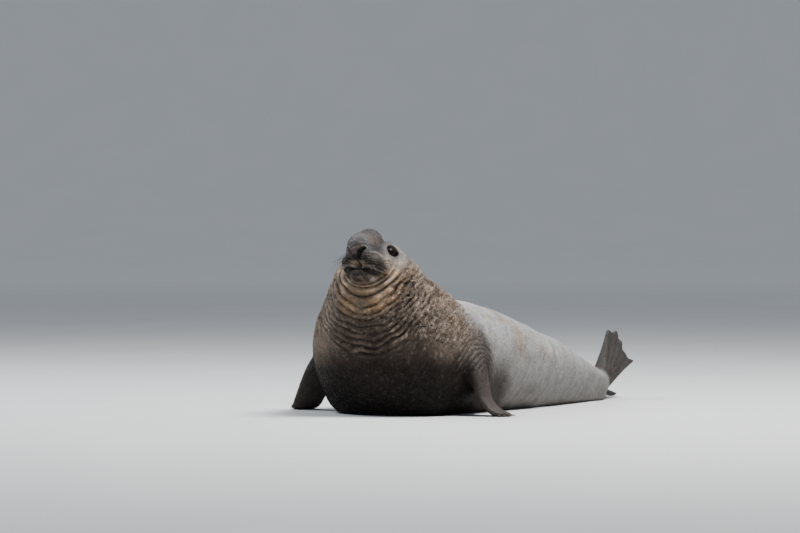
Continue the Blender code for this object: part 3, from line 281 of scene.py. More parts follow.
class Fan:
    """A hind flipper: five digits spread from the ankle with webs between them, the outer two the longest."""

    def __init__(self, ankle, ahead, normal, spread, lengths, root, digit, web):
        self.ankle = np.array(ankle)
        self.ahead = np.array(Vector(ahead).normalized())
        face = Vector(normal) - Vector(self.ahead) * Vector(normal).dot(Vector(self.ahead))
        self.normal = np.array(face.normalized())
        self.across = np.cross(self.normal, self.ahead)
        self.lengths = np.array(lengths)
        self.angles = np.radians(np.linspace(-spread / 2, spread / 2, len(lengths)))
        self.root, self.digit, self.web = root, digit, web

    def distance(self, points):
        offset = points - self.ankle
        ahead = offset @ self.ahead
        across = offset @ self.across
        off = np.abs(offset @ self.normal)
        # The digits start apart from each other, so the fan's centre lies a little inside the ankle.
        heart = self.root * 1.3
        reach = np.hypot(ahead + heart, across) - heart
        angle = np.arctan2(across, ahead + heart)
        bent = angle * (heart + 0.3) / 0.3
        spread = self.angles[-1]
        turned = np.clip(bent, -spread, spread)
        longest = np.interp(turned, self.angles, self.lengths)
        gap = self.angles[1] - self.angles[0]
        between = 0.5 - 0.5 * np.cos(2.0 * np.pi * (turned - self.angles[0]) / gap)
        longest = longest * (1.0 - 0.04 * between)
        out = np.clip(reach / longest, 0.0, 1.0)
        ridge = self.digit + (self.web - self.digit) * between**0.7
        thick = self.root * (1.0 - out) ** 1.6 + ridge * (1.0 - 0.30 * out)
        sideways = np.maximum(np.abs(bent) - spread, 0.0) * np.maximum(reach + heart, 0.02)
        beyond = np.maximum(reach - longest, 0.0)
        before = np.maximum(-reach, 0.0)
        rim = np.hypot(np.hypot(sideways, beyond), before)
        return (np.hypot(off, rim) - thick) * 0.8


HIND_THICKNESS = {"root": 0.055, "digit": 0.029, "web": 0.020}

# The left fan stands raised on its edge, and the right one lies out over the floor.
LEFT_HIND = Fan(
    ankle=(0.125, 2.66, 0.165),
    ahead=(-0.01, 0.70, 0.71),
    normal=(1.0, 0.0, 0.05),
    spread=60,
    lengths=(0.46, 0.39, 0.42, 0.45, 0.41),
    **HIND_THICKNESS,
)
RIGHT_HIND = Fan(
    ankle=(-0.125, 2.66, 0.130),
    ahead=(-0.26, 0.96, -0.06),
    normal=(0.45, 0.10, 0.88),
    spread=46,
    lengths=(0.54, 0.49, 0.46, 0.49, 0.56),
    **HIND_THICKNESS,
)


def torso_distance(points):
    """Head, neck and trunk."""
    found = smooth_union(NECK.distance(points), TRUNK.distance(points), 0.25)
    return smooth_union(found, head_distance(points), 0.08)


def eye_axes(side):
    """The eyeball's centre and its axes: along the opening, across it, and out along the gaze."""
    mirror = np.array((1.0, side, 1.0))
    gaze = np.array(EYE_GAZE) / np.linalg.norm(EYE_GAZE)
    length = np.array(EYE_LENGTH_WAY) - gaze * np.dot(EYE_LENGTH_WAY, gaze)
    length = length / np.linalg.norm(length)
    upward = np.cross(gaze, length)
    axes = np.array((length, upward, gaze)) * mirror
    return from_head(np.array(EYE_PLACE) * mirror), axes @ HEAD_AXES


def almond(points, side, size):
    """Below 0 inside an almond of the given half length and half height round the eye, in metres."""
    centre, axes = eye_axes(side)
    local = (points - centre) @ axes.T
    half_length, half_height = size
    bow = (half_length**2 + half_height**2) / (2 * half_height)
    rise = np.hypot(local[:, 0], np.abs(local[:, 1]) + bow - half_height) - bow
    return np.where(local[:, 2] > 0, rise, 1.0)


def body_distance(points):
    """The whole seal but its eyeballs, without folds."""
    found = torso_distance(points)
    for side in (1, -1):
        centre, _ = eye_axes(side)
        lid = row_lengths(points - centre) - EYEBALL - LID
        found = smooth_union(found, lid, 0.050)
    for flipper in (LEFT_FORE, RIGHT_FORE):
        found = smooth_union(found, flipper.distance(points), 0.06)
    for fan in (LEFT_HIND, RIGHT_HIND):
        found = smooth_union(found, fan.distance(points), 0.03)
    return -smooth_union(-found, points[:, 2], FLOOR_ROUNDING)


class Bumps:
    """Soft seeded bumps between about -1 and 1, of about the given size."""

    def __init__(self, seed, size, count=32):
        self.values = np.random.default_rng(seed).uniform(-1.0, 1.0, (count, count, count))
        self.size = size
        self.count = count

    def __call__(self, points):
        place = np.asarray(points) / self.size
        cell = np.floor(place).astype(int)
        t = place - cell
        t = t * t * (3.0 - 2.0 * t)
        total = np.zeros(len(place))
        for i in (0, 1):
            for j in (0, 1):
                for k in (0, 1):
                    share = (
                        (t[:, 0] if i else 1 - t[:, 0])
                        * (t[:, 1] if j else 1 - t[:, 1])
                        * (t[:, 2] if k else 1 - t[:, 2])
                    )
                    x, y, z = ((cell + (i, j, k)) % self.count).T
                    total += share * self.values[x, y, z]
        return total


def ramp(value, start, end):
    """0 before start and 1 after end, smoothly. With the start after the end it falls instead of rising."""
    t = np.clip((value - start) / (end - start), 0.0, 1.0)
    return t * t * (3.0 - 2.0 * t)


def ridge(value, width):
    """1 at 0 and falling off smoothly over about the width."""
    return np.exp(-((value / width) ** 2))


# The throat's own axes, for its folds: down it, to its left, and towards the nape.
THROAT_TOP = np.array((0.045, -0.240, 1.180))
THROAT_FACING = math.radians(13.0)
FOLD_SLANT = math.radians(35.0)
FOLD_SPREAD = 0.48
THROAT_WAY = np.array(
    (
        -math.sin(THROAT_FACING) * math.sin(FOLD_SLANT),
        math.cos(THROAT_FACING) * math.sin(FOLD_SLANT),
        -math.cos(FOLD_SLANT),
    )
)
THROAT_LEFT = np.array(facing_side(math.degrees(THROAT_FACING)))
THROAT_BACK = np.cross(THROAT_LEFT, THROAT_WAY)

FOLD_START = -0.066
FOLD_END = 0.520
FIRST_FOLD = 0.0375
FOLD_STEP = 0.060
FOLD_DEPTH = 0.025
WARP_WIDE = Bumps(3, 0.30)
WARP_NARROW = Bumps(4, 0.11)
LUMPS = Bumps(5, 0.060)
SMALL_LUMPS = Bumps(6, 0.030)
# Lumps made flatter than they are wide
FLATTENED = (1.0, 1.0, 1.6)


def neck_place(points):
    """How far down the neck a point lies, and its angle round it from the middle of the throat."""
    offset = points - THROAT_TOP
    across = offset @ THROAT_LEFT
    down = (offset @ THROAT_WAY) / math.cos(FOLD_SLANT) + across**2 / (2 * FOLD_SPREAD)
    angle = np.arctan2(across, -(offset @ THROAT_BACK))
    return down, angle


# How far round the neck the throat's folds reach at its top, how much farther below, and where they fade
FOLD_REACH = 0.75
FOLD_REACH_GAIN = 1.2
FOLD_FADE = 0.6
# How much the folds wander up and down the neck, in folds: in long waves, and in short ones in front or aside
FOLD_WANDER = 0.80
FOLD_STRAY_FRONT = 0.35
FOLD_STRAY_SIDE = 0.55
FOLD_ROUNDNESS = 0.55
FOLD_LEVEL = 0.68
NECK_LUMP = 0.0075
NECK_SMALL_LUMP = 0.0035


def throat_folds(points):
    """Rolls of skin across the throat, and lumps where they break up on the sides of the neck."""
    down, angle = neck_place(points)
    turn = np.abs(angle) + 0.25 * WARP_NARROW(points + 3.0)
    stray = FOLD_STRAY_FRONT + (FOLD_STRAY_SIDE - FOLD_STRAY_FRONT) * ramp(turn, 0.4, 1.2)
    warp = FOLD_WANDER * WARP_WIDE(points) + stray * WARP_NARROW(points * FLATTENED)
    narrow_first = (1.0 - FIRST_FOLD / FOLD_STEP) * ramp(down, FOLD_START, FOLD_START + FIRST_FOLD)
    count = (down - FOLD_START) / FOLD_STEP + narrow_first + warp * ramp(down, 0.02, 0.14)
    roll = np.abs(np.sin(np.pi * count)) ** FOLD_ROUNDNESS
    reach = ramp(down, FOLD_START - 0.03, FOLD_START) * (1.0 - ramp(down, FOLD_END - 0.06, FOLD_END + 0.03))
    edge = FOLD_REACH + FOLD_REACH_GAIN * np.clip(down, 0.0, 0.3)
    front = reach * (1.0 - ramp(turn, edge, edge + FOLD_FADE))
    depth = FOLD_DEPTH * (0.95 + 0.50 * WARP_WIDE(points + 7.0) + 0.25 * WARP_NARROW(points + 5.0))
    sides = ramp(down, 0.02, 0.12) * (1.0 - ramp(down, 0.62, 0.90)) * ramp(turn, 0.9, 1.5)
    sides = sides * (1.0 - 0.6 * ramp(turn, 2.4, 3.0))
    lumps = NECK_LUMP * LUMPS(points * FLATTENED) + NECK_SMALL_LUMP * SMALL_LUMPS(points)
    return front * depth * (roll - FOLD_LEVEL) + (sides + 0.25 * front) * lumps


SWELLS = Bumps(9, 0.42)
SWELL_HEIGHT = 0.012
SMALL_SWELLS = Bumps(10, 0.17)
SMALL_SWELL_HEIGHT = 0.005
FLANK_ROLL = (1.39, 0.55)
FLANK_ROLL_LEAN = 0.55
FLANK_ROLL_WIDTH = 0.11
FLANK_ROLL_HEIGHT = 0.018
FLANK_HOLLOW_BEHIND = 0.19
FLANK_HOLLOW_WIDTH = 0.09
FLANK_HOLLOW_DEPTH = 0.016


def blubber(points):
    """Broad swells of the trunk behind the shoulders."""
    behind = ramp(points[:, 1], 0.45, 0.80) * (1.0 - ramp(points[:, 1], 2.3, 2.7))
    place = points[:, 1] - FLANK_ROLL[0] - FLANK_ROLL_LEAN * (points[:, 2] - FLANK_ROLL[1])
    roll = FLANK_ROLL_HEIGHT * ridge(place, FLANK_ROLL_WIDTH)
    hollow = FLANK_HOLLOW_DEPTH * ridge(place - FLANK_HOLLOW_BEHIND, FLANK_HOLLOW_WIDTH)
    low = 1.0 - ramp(points[:, 2], 0.42, 0.60)
    swells = SWELL_HEIGHT * SWELLS(points) + SMALL_SWELL_HEIGHT * SMALL_SWELLS(points)
    return behind * (swells + (roll - hollow) * low)


# The middles of the creases over the fore flippers, and the side that each is on
SHOULDERS = (((0.715, 0.215, 0.27), 1), ((-0.780, 0.05, 0.27), -1))
SHOULDER_FOLD_STEP = 0.036
SHOULDER_FOLD_DEPTH = 0.012
SHOULDER_FOLD_BAND = (0.09, 0.14, 0.26, 0.38)


def shoulder_folds(points):
    """Creases that arch over the roots of the fore flippers."""
    total = np.zeros(len(points))
    for centre, side in SHOULDERS:
        offset = points - np.array(centre)
        away = row_lengths(offset * (0.8, 1.0, 1.0)) + 0.02 * WARP_NARROW(points)
        above = ramp(offset[:, 2] / np.maximum(away, 1e-6), -0.1, 0.5)
        outside = ramp(offset[:, 0] * side, -0.32, -0.18)
        start, full, fading, end = SHOULDER_FOLD_BAND
        band = ramp(away, start, full) * (1.0 - ramp(away, fading, end))
        roll = np.abs(np.sin(np.pi * away / SHOULDER_FOLD_STEP)) ** 0.6
        total += SHOULDER_FOLD_DEPTH * band * above * outside * (roll - 0.7)
    return total


MOUTH_HEIGHT = -0.238
MOUTH_DROOP = 0.7
MOUTH_RISE = 1.1
MOUTH_FRONT = 0.235
MOUTH_BEND = 0.17
MOUTH_BACK_SLOPE = 0.15
MOUTH_CORNER = 0.015


def mouth_line(forward, left):
    """How high the mouth runs in the head's axes."""
    behind = np.maximum(MOUTH_FRONT - forward, 0.0)
    rise = MOUTH_RISE * np.minimum(behind, MOUTH_BEND) ** 2
    rise = rise + MOUTH_BACK_SLOPE * np.maximum(behind - MOUTH_BEND, 0.0)
    return MOUTH_HEIGHT - MOUTH_DROOP * left**2 + rise


MOUTH_DEPTH = 0.011
MOUTH_WIDTH = 0.0065
LIP_RISE = 0.005
LIP_WIDTH = 0.010
LIP_OFFSET = 0.018
JOWL_CREASE = 0.005
PHILTRUM_DEPTH = 0.008
PHILTRUM_WIDTH = 0.006

# The open nostril's slit: left and up in the head's axes, with its half width, from its outer top inwards and
# down. The right nostril is nearly closed.
NOSTRIL = ((0.080, -0.102, 0.007), (0.061, -0.115, 0.013), (0.042, -0.139, 0.019), (0.026, -0.172, 0.009))
NOSTRIL_DEPTH = 0.026
NOSTRIL_ROUNDING = (0.5, 1.5)
NOSTRIL_STARTS = 0.20
NOSTRIL_FULL = 0.24
CLOSED_SHARE = 0.45
RIM_RISE = 0.004
RIM_OFFSET = 0.012
RIM_WIDTH = 0.008

# Creases across the top of the proboscis: how far forward, and how deep
NOSE_CREASES = ((0.218, 0.008), (0.262, 0.003), (0.165, 0.0025), (0.100, 0.0025))
NOSE_CREASE_BOW = 1.6
CREASE_WIDTH = 0.006

# The crease behind each whisker pad: its middle forward and up, its half length and half height, its depth
PAD_CREASE = (0.140, -0.175, 0.128, 0.090, 0.004)
EAR_PLACE = (-0.233, 0.018)
EAR_DEPTH = 0.010
EAR_WIDTH = 0.007
LID_RISE = 0.003
LID_CREASE_DEPTH = 0.004
LID_CREASE_AWAY = 0.021


def segment_distance(x, y, start, end):
    """How far each point of a plane lies from a line between two points, and how far along it."""
    way = (end[0] - start[0], end[1] - start[1])
    length = way[0] ** 2 + way[1] ** 2
    t = np.clip(((x - start[0]) * way[0] + (y - start[1]) * way[1]) / length, 0.0, 1.0)
    return np.hypot(x - start[0] - way[0] * t, y - start[1] - way[1] * t), t


def nostrils(local):
    """How deep in a nostril each place of the head's axes is, from 0 to 1."""
    up = local[:, 2]
    left = np.abs(local[:, 1])
    share = np.where(local[:, 1] > 0, 1.0, CLOSED_SHARE)
    pit = np.zeros(len(local))
    for start, end in zip(NOSTRIL, NOSTRIL[1:]):
        away, t = segment_distance(left, up, start, end)
        width = (start[2] + (end[2] - start[2]) * t) * share
        low, high = NOSTRIL_ROUNDING
        pit = np.maximum(pit, 1.0 - ramp(away, width * low, width * high))
    return pit * share * ramp(local[:, 0], NOSTRIL_STARTS, NOSTRIL_FULL)


def mouth_relief(local):
    """The mouth with its lips, the crease below its corners and the groove between the whisker pads."""
    forward, up = local[:, 0], local[:, 2]
    left = np.abs(local[:, 1])
    above = up - mouth_line(forward, left)
    reaches = ramp(forward, MOUTH_CORNER - 0.02, MOUTH_CORNER + 0.01)
    lips = ridge(above - LIP_OFFSET, LIP_WIDTH) + ridge(above + LIP_OFFSET, LIP_WIDTH)
    total = reaches * (LIP_RISE * lips - MOUTH_DEPTH * ridge(above, MOUTH_WIDTH))
    lower = above + 0.030 + 0.25 * (0.12 - left)
    total -= JOWL_CREASE * ridge(lower, 0.005) * ramp(left, 0.075, 0.105) * ramp(forward, -0.02, 0.0)
    between = ramp(above, -0.006, 0.004) * (1.0 - ramp(up, -0.17, -0.15)) * ramp(forward, 0.14, 0.20)
    return total - PHILTRUM_DEPTH * ridge(left, PHILTRUM_WIDTH) * between


def face_relief(points):
    """Mouth, lips, nostrils, creases of the proboscis, lids and ear openings."""
    local = to_head(points)
    forward, up = local[:, 0], local[:, 2]
    left = np.abs(local[:, 1])
    total = mouth_relief(local) - NOSTRIL_DEPTH * nostrils(local)
    rim_away, _ = segment_distance(left, up, NOSTRIL[0], NOSTRIL[2])
    in_front = ramp(forward, NOSTRIL_STARTS, NOSTRIL_FULL)
    total += RIM_RISE * ridge(rim_away - RIM_OFFSET, RIM_WIDTH) * in_front
    top = ramp(up, -0.06, 0.0) * (1.0 - ramp(left, 0.10, 0.13))
    for place, depth in NOSE_CREASES:
        total -= depth * top * ridge(forward - place + NOSE_CREASE_BOW * left**2, CREASE_WIDTH)
    pad_forward, pad_up, pad_length, pad_height, pad_depth = PAD_CREASE
    pad = np.hypot((forward - pad_forward) / pad_length, (up - pad_up) / pad_height) - 1.0
    behind = ramp(left, 0.10, 0.13) * ramp(pad_forward - 0.06 - forward, -0.02, 0.03)
    total -= pad_depth * ridge(pad, 0.09) * behind
    ear_forward, ear_up = EAR_PLACE
    ear = np.hypot((forward - ear_forward) / 0.9, up - ear_up + 0.5 * (forward - ear_forward))
    total -= EAR_DEPTH * ridge(ear, EAR_WIDTH) * ramp(left, 0.08, 0.10)
    for side in (1, -1):
        lid = almond(points, side, EYE_OPENING)
        near = ramp(local[:, 1] * side, 0.03, 0.05)
        total += LID_RISE * ridge(lid - 0.009, CREASE_WIDTH) * near
        total -= LID_CREASE_DEPTH * ridge(lid - LID_CREASE_AWAY, CREASE_WIDTH) * near * ramp(up, -0.01, 0.01)
    return total


# How near the eyeball's middle line the lids are drawn onto it, and how far under it the opening lies
LID_REACH = (0.044, 0.056)
LID_DRAWN = (0.003, 0.020)
UNDER_EYE = 0.007


def open_eyes(points):
    """The points round each eye drawn onto its lids, and inside the opening to just under the eyeball."""
    moved = points.copy()
    for side in (1, -1):
        centre, axes = eye_axes(side)
        local = (points - centre) @ axes.T
        lid = almond(points, side, EYE_OPENING)
        out = np.hypot(local[:, 0], local[:, 1])
        close = (local[:, 2] > 0.0) & (out < 0.07) & (np.abs(local[:, 2]) < 0.12)
        globe = np.sqrt(np.maximum(EYEBALL**2 - out**2, (0.3 * EYEBALL) ** 2))
        rim = (1.0 - ramp(lid, *LID_DRAWN)) * (1.0 - ramp(out, *LID_REACH))
        inside = 1.0 - ramp(lid, -0.005, 0.001)
        height = local[:, 2] + (globe + LID - local[:, 2]) * rim
        height = height + (globe - UNDER_EYE - height) * inside
        shift = np.where(close, height - local[:, 2], 0.0)
        moved += shift[:, None] * axes[2]
    return moved


def carve(points, normals):
    """The points moved along the normals to make folds, creases, lips and lids."""
    in_head = 1.0 - ramp(neck_place(points)[0], -0.075, -0.045)
    depth = throat_folds(points) + shoulder_folds(points) + blubber(points)
    depth = depth * ramp(points[:, 2], 0.02, 0.12)
    near_head = (in_head > 0) & (points[:, 1] < 0.1)
    depth[near_head] += face_relief(points[near_head]) * in_head[near_head]
    moved = open_eyes(points + normals * depth[:, None])
    height = moved[:, 2]
    pressed = np.maximum(height - FLOOR_PRESS, 0.0) * PRESSED_BELOW / (PRESSED_BELOW - FLOOR_PRESS)
    moved[:, 2] = np.where(height < PRESSED_BELOW, pressed, height)
    return moved


def lattice(distance, low, high, coarse, parts):
    """Distances on a fine lattice, worked out only near the surface."""
    low, high = np.array(low), np.array(high)
    counts = np.ceil((high - low) / coarse).astype(int)
    centre = [low[i] + coarse * (np.arange(counts[i]) + 0.5) for i in range(3)]
    cells = np.stack(np.meshgrid(*centre, indexing="ij"), axis=-1).reshape(-1, 3)
    value = in_batches(distance, cells)
    fine = coarse / parts
    dense = np.repeat(
        np.repeat(np.repeat(value.reshape(counts), parts, axis=0), parts, axis=1), parts, axis=2
    )
    near = np.abs(value) < coarse * 1.35
    starts = np.stack(np.unravel_index(np.nonzero(near)[0], counts), axis=-1) * parts
    steps = np.stack(np.meshgrid(*[np.arange(parts)] * 3, indexing="ij"), axis=-1).reshape(-1, 3)
    index = (starts[:, None, :] + steps[None, :, :]).reshape(-1, 3)
    points = low + (index + 0.5) * fine
    dense[index[:, 0], index[:, 1], index[:, 2]] = in_batches(distance, points)
    return dense, low + 0.5 * fine, fine


def in_batches(distance, points, size=60000):
    return np.concatenate([distance(points[i : i + size]) for i in range(0, len(points), size)])


def surface_net(values, origin, step):
    """A closed quad mesh where the lattice's values pass through zero, as points and triangles."""
    inside = values < 0
    corner = [(i, j, k) for i in (0, 1) for j in (0, 1) for k in (0, 1)]
    shape = tuple(n - 1 for n in values.shape)

    def shifted(array, c):
        return array[c[0] : c[0] + shape[0], c[1] : c[1] + shape[1], c[2] : c[2] + shape[2]]

    count = sum(shifted(inside, c).astype(np.int8) for c in corner)
    cell = np.nonzero((count > 0) & (count < 8))
    number = np.full(shape, -1)
    number[cell] = np.arange(len(cell[0]))
    total = np.zeros((len(cell[0]), 3))
    crossings = np.zeros(len(cell[0]))
    for a in corner:
        for axis in range(3):
            if a[axis]:
                continue
            b = tuple(1 if i == axis else a[i] for i in range(3))
            va = values[cell[0] + a[0], cell[1] + a[1], cell[2] + a[2]]
            vb = values[cell[0] + b[0], cell[1] + b[1], cell[2] + b[2]]
            cross = (va < 0) != (vb < 0)
            share = np.where(cross, va / np.where(cross, va - vb, 1.0), 0.0)
            place = np.array(a, float)[None, :] + share[:, None] * (np.arange(3) == axis)
            total += np.where(cross[:, None], place, 0.0)
            crossings += cross
    points = origin + (np.stack(cell, axis=-1) + total / crossings[:, None]) * step
    faces = []
    for axis in range(3):
        u, v = (axis + 1) % 3, (axis + 2) % 3
        front = [slice(None)] * 3
        back = [slice(None)] * 3
        front[axis], back[axis] = slice(1, None), slice(None, -1)
        change = inside[tuple(front)].astype(np.int8) - inside[tuple(back)].astype(np.int8)
        for sign in (1, -1):
            at = np.stack(np.nonzero(change == sign), axis=-1)
            at = at[(at[:, u] > 0) & (at[:, v] > 0)]
            ring = []
            for du, dv in ((1, 1), (0, 1), (0, 0), (1, 0)):
                c = at.copy()
                c[:, u] -= du
                c[:, v] -= dv
                ring.append(number[c[:, 0], c[:, 1], c[:, 2]])
            quad = np.stack(ring, axis=-1)
            quad = quad if sign == -1 else quad[:, ::-1]
            faces.append(quad[:, [0, 1, 2]])
            faces.append(quad[:, [0, 2, 3]])
    return points, np.concatenate(faces)


def gradient(distance, points, step=0.002):
    """The direction in which the distance grows, at each point."""
    ways = np.array(((1, 1, 1), (1, -1, -1), (-1, 1, -1), (-1, -1, 1)), float)
    total = sum(in_batches(distance, points + way * step)[:, None] * way for way in ways)
    return total / (4 * step)


def settled(distance, points, rounds=2):
    """The points moved onto the surface."""
    for _ in range(rounds):
        slope = gradient(distance, points)
        size = np.maximum(np.sum(slope**2, axis=1), 0.05)
        move = -(in_batches(distance, points) / size)[:, None] * slope
        length = row_lengths(move)[:, None]
        points = points + move * np.minimum(1.0, 0.02 / np.maximum(length, 1e-9))
    return points


def split_edges(points, faces, wanted):
    """Every edge longer than wanted at its middle is halved, and the triangles beside it are cut to match."""
    ends = np.sort(faces[:, [[0, 1], [1, 2], [2, 0]]].reshape(-1, 2), axis=1)
    key, index = np.unique(ends[:, 0].astype(np.int64) * len(points) + ends[:, 1], return_inverse=True)
    ends = np.stack((key // len(points), key % len(points)), axis=-1)
    middle = points[ends].mean(axis=1)
    length = row_lengths(points[ends[:, 0]] - points[ends[:, 1]])
    marked = length > wanted(middle)
    number = np.full(len(ends), -1)
    number[marked] = len(points) + np.arange(marked.sum())
    added = number[index.reshape(-1, 3)]
    count = (added >= 0).sum(axis=1)
    made = [faces[count == 0]]
    for pattern in range(1, 8):
        bits = [bool(pattern & 1), bool(pattern & 2), bool(pattern & 4)]
        rows = np.all((added >= 0) == bits, axis=1)
        if not rows.any():
            continue
        turn = {1: {1: 0, 2: 1, 4: 2}, 2: {3: 0, 6: 1, 5: 2}, 3: {7: 0}}[sum(bits)][pattern]
        f = np.roll(faces[rows], -turn, axis=1)
        m = np.roll(added[rows], -turn, axis=1)
        a, b, c = f.T
        ab, bc, ca = m.T
        cut = {
            1: ((a, ab, c), (ab, b, c)),
            2: ((a, ab, c), (ab, bc, c), (ab, b, bc)),
            3: ((a, ab, ca), (ab, b, bc), (ca, bc, c), (ab, bc, ca)),
        }
        made += [np.stack(corners, axis=-1) for corners in cut[sum(bits)]]
    return np.concatenate([points, middle[marked]]), np.concatenate(made)


# The lattice's corners, and how many fine cells there are along a coarse one
BODY_LOW = (-1.15, -0.75, -0.06)
BODY_HIGH = (1.15, 3.55, 1.62)
CELL_PARTS = 3


def vertex_normals(points, faces):
    """Outward unit normals of the mesh at its points."""
    a, b, c = points[faces[:, 0]], points[faces[:, 1]], points[faces[:, 2]]
    normal = np.cross(b - a, c - a)
    total = np.zeros_like(points)
    for corner in range(3):
        for axis in range(3):
            total[:, axis] += np.bincount(faces[:, corner], normal[:, axis], len(points))
    return total / np.maximum(row_lengths(total), 1e-12)[:, None]


CLAW_ANGLES = (-52.0, -30.0, -8.0, 14.0, 36.0)
CLAW_HEART = 0.10
CLAW_SUNK = 0.024
CLAW_OUT = 0.030
CLAW_RADIUS = 0.0085


def claw_path(limb, degrees):
    """Root and tip of one claw of a fore flipper, so many degrees round from straight ahead."""
    ahead = limb.along[-1] * (1.0, 1.0, 0.0)
    ahead = ahead / np.linalg.norm(ahead)
    across = np.array((-ahead[1], ahead[0], 0.0))
    angle = math.radians(degrees)
    way = ahead * math.cos(angle) + across * math.sin(angle)
    heart = limb.axis[-1] - ahead * CLAW_HEART
    heart[2] = CLAW_RADIUS * 2.0
    steps = np.linspace(0.0, 0.25, 126)
    inside = body_distance(heart + way * steps[:, None]) < 0
    edge = steps[np.argmin(inside)]
    root = heart + way * (edge - CLAW_SUNK)
    tip = heart + way * (edge + CLAW_OUT) - (0.0, 0.0, CLAW_RADIUS)
    return root, tip


# How far the skin lies under the coat, and the lattice's coarse cell
COAT_DEPTH = 0.004
SKIN_CELL = 0.060

# The longest edges of the skin's triangles: over the throat's folds, on the face, round the lids, and over
# the fore flippers' roots. Where none of them rules, any length is allowed.
FOLD_EDGE = 0.0124
FACE_EDGE = 0.0078
LID_EDGE = 0.0035
FLIPPER_EDGE = 0.020
ANY_LENGTH = 1.0
FOLDS_DOWN = (-0.12, 0.60)
FOLDS_TURN = 2.1
FOLDS_BACK = 0.25
SHOULDER_NEAR = 0.42
FACE_BACK = -0.12
FACE_BOTTOM = -0.36
FACE_HALF_WIDTH = 0.26
LID_NEAR = 0.085


def fold_edges(places):
    down, angle = neck_place(places)
    start, end = FOLDS_DOWN
    folded = (down > start) & (down < end) & (np.abs(angle) < FOLDS_TURN) & (places[:, 1] < FOLDS_BACK)
    return np.where(folded, FOLD_EDGE, ANY_LENGTH)


def shoulder_edges(places):
    near = [row_lengths(places - np.array(centre)) < SHOULDER_NEAR for centre, _ in SHOULDERS]
    return np.where((near[0] | near[1]) & (places[:, 2] > 0.0), FLIPPER_EDGE, ANY_LENGTH)


def face_edges(places):
    local = to_head(places)
    in_face = (local[:, 0] > FACE_BACK) & (local[:, 2] > FACE_BOTTOM)
    return np.where(in_face & (np.abs(local[:, 1]) < FACE_HALF_WIDTH), FACE_EDGE, ANY_LENGTH)


def lid_edges(places):
    near = [row_lengths(places - eye_axes(side)[0]) < LID_NEAR for side in (1, -1)]
    return np.where(near[0] | near[1], LID_EDGE, ANY_LENGTH)


# Rows of whisker roots on each whisker pad, in the head's axes. A row runs round a heart, given by how far
# forward and aside it is, and reaches so far ahead of it and aside.
WHISKER_ROWS = 6
WHISKERS_IN_ROW = 8
ROW_TOP = -0.130
ROW_STEP = 0.0185
ROW_RISE = 0.020
WHISKER_HEART = (0.110, 0.034)
WHISKER_REACH = (0.155, 0.152)
FIRST_WHISKER = 14.0
WHISKER_TURN = 12.5
ROW_TURN = 4.0


def whisker_roots(side):
    """Places on one whisker pad, in the head's axes, before they are laid on the skin."""
    roots = []
    for row in range(WHISKER_ROWS):
        for k in range(WHISKERS_IN_ROW):
            way = math.radians(FIRST_WHISKER + WHISKER_TURN * k + ROW_TURN * (row % 2))
            forward = WHISKER_HEART[0] + WHISKER_REACH[0] * math.cos(way)
            left = WHISKER_HEART[1] + WHISKER_REACH[1] * math.sin(way)
            up = ROW_TOP - ROW_STEP * row + ROW_RISE * math.sin(way)
            roots.append((forward, left * side, up))
    return np.array(roots)


NET_WIDE = Bumps(14, 0.075)
NET_NARROW = Bumps(15, 0.032)
NET_ACROSS = Bumps(16, 0.042)
SKIN_LUMPS = Bumps(17, 0.026)
SKIN_GRAIN = Bumps(18, 0.013)

# How much shorter the marks of the neck are down it than round it
LAID_STRETCH = 2.6


def laid_with_folds(points):
    """Places in which marks of equal size come out long and thin, along the folds."""
    down, _ = neck_place(points)
    offset = points - THROAT_TOP
    return np.stack((LAID_STRETCH * down, offset @ THROAT_LEFT, offset @ THROAT_BACK), axis=-1)


# Where the neck has wrinkles: how far back and up, how far down it, and how far round it
WRINKLE_BACK_EDGE = (0.30, 0.08)
WRINKLE_HEIGHT = (0.42, 0.66)
WRINKLE_DOWN = (-0.01, 0.08)
WRINKLE_SIDE_LIFT = 0.08
WRINKLE_SIDE_TURN = (0.9, 1.5)
WRINKLE_TURN = (0.45, 1.0)
# The net's lines: how wide they are, in bumps, and how deep in metres
NET_LINE = 0.18
CROSS_LINE = 0.16
CROSS_SHAPE = (0.35, 1.7, 1.0)
WIDE_DEPTH = 0.0035
WIDE_SIDE_DEPTH = 0.0055
NARROW_DEPTH = 0.0032
CROSS_DEPTH = 0.0020
NET_LEVEL = 0.0026


def neck_wrinkles(points):
    """A net of short wrinkles that run with the folds, deepest on the sides of the neck."""
    down, angle = neck_place(points)
    turn = np.abs(angle)
    where = ramp(points[:, 1], *WRINKLE_BACK_EDGE) * ramp(points[:, 2], *WRINKLE_HEIGHT)
    where = where * ramp(down - WRINKLE_SIDE_LIFT * ramp(turn, *WRINKLE_SIDE_TURN), *WRINKLE_DOWN)
    laid = laid_with_folds(points)
    wide = (WIDE_DEPTH + WIDE_SIDE_DEPTH * ramp(turn, *WRINKLE_TURN)) * ridge(NET_WIDE(laid), NET_LINE)
    narrow = NARROW_DEPTH * ridge(NET_NARROW(laid), NET_LINE)
    across = CROSS_DEPTH * ridge(NET_ACROSS(laid * CROSS_SHAPE), CROSS_LINE)
    return where * (NET_LEVEL - wide - narrow - across)


ROW_SLOPE = 0.12
ROW_OFFSET = 0.002


def whisker_row(left, up):
    """0 along the middle of the groove between two rows of whiskers, 1 on a row."""
    return np.abs(np.sin(np.pi * (up - ROW_TOP - ROW_SLOPE * left + ROW_OFFSET) / ROW_STEP))


PAD_FORWARD = (0.06, 0.10)
PAD_ASIDE = (0.025, 0.045)
PAD_BELOW_NOSE = (0.110, 0.130)
PAD_ABOVE_LIP = (0.002, 0.014)


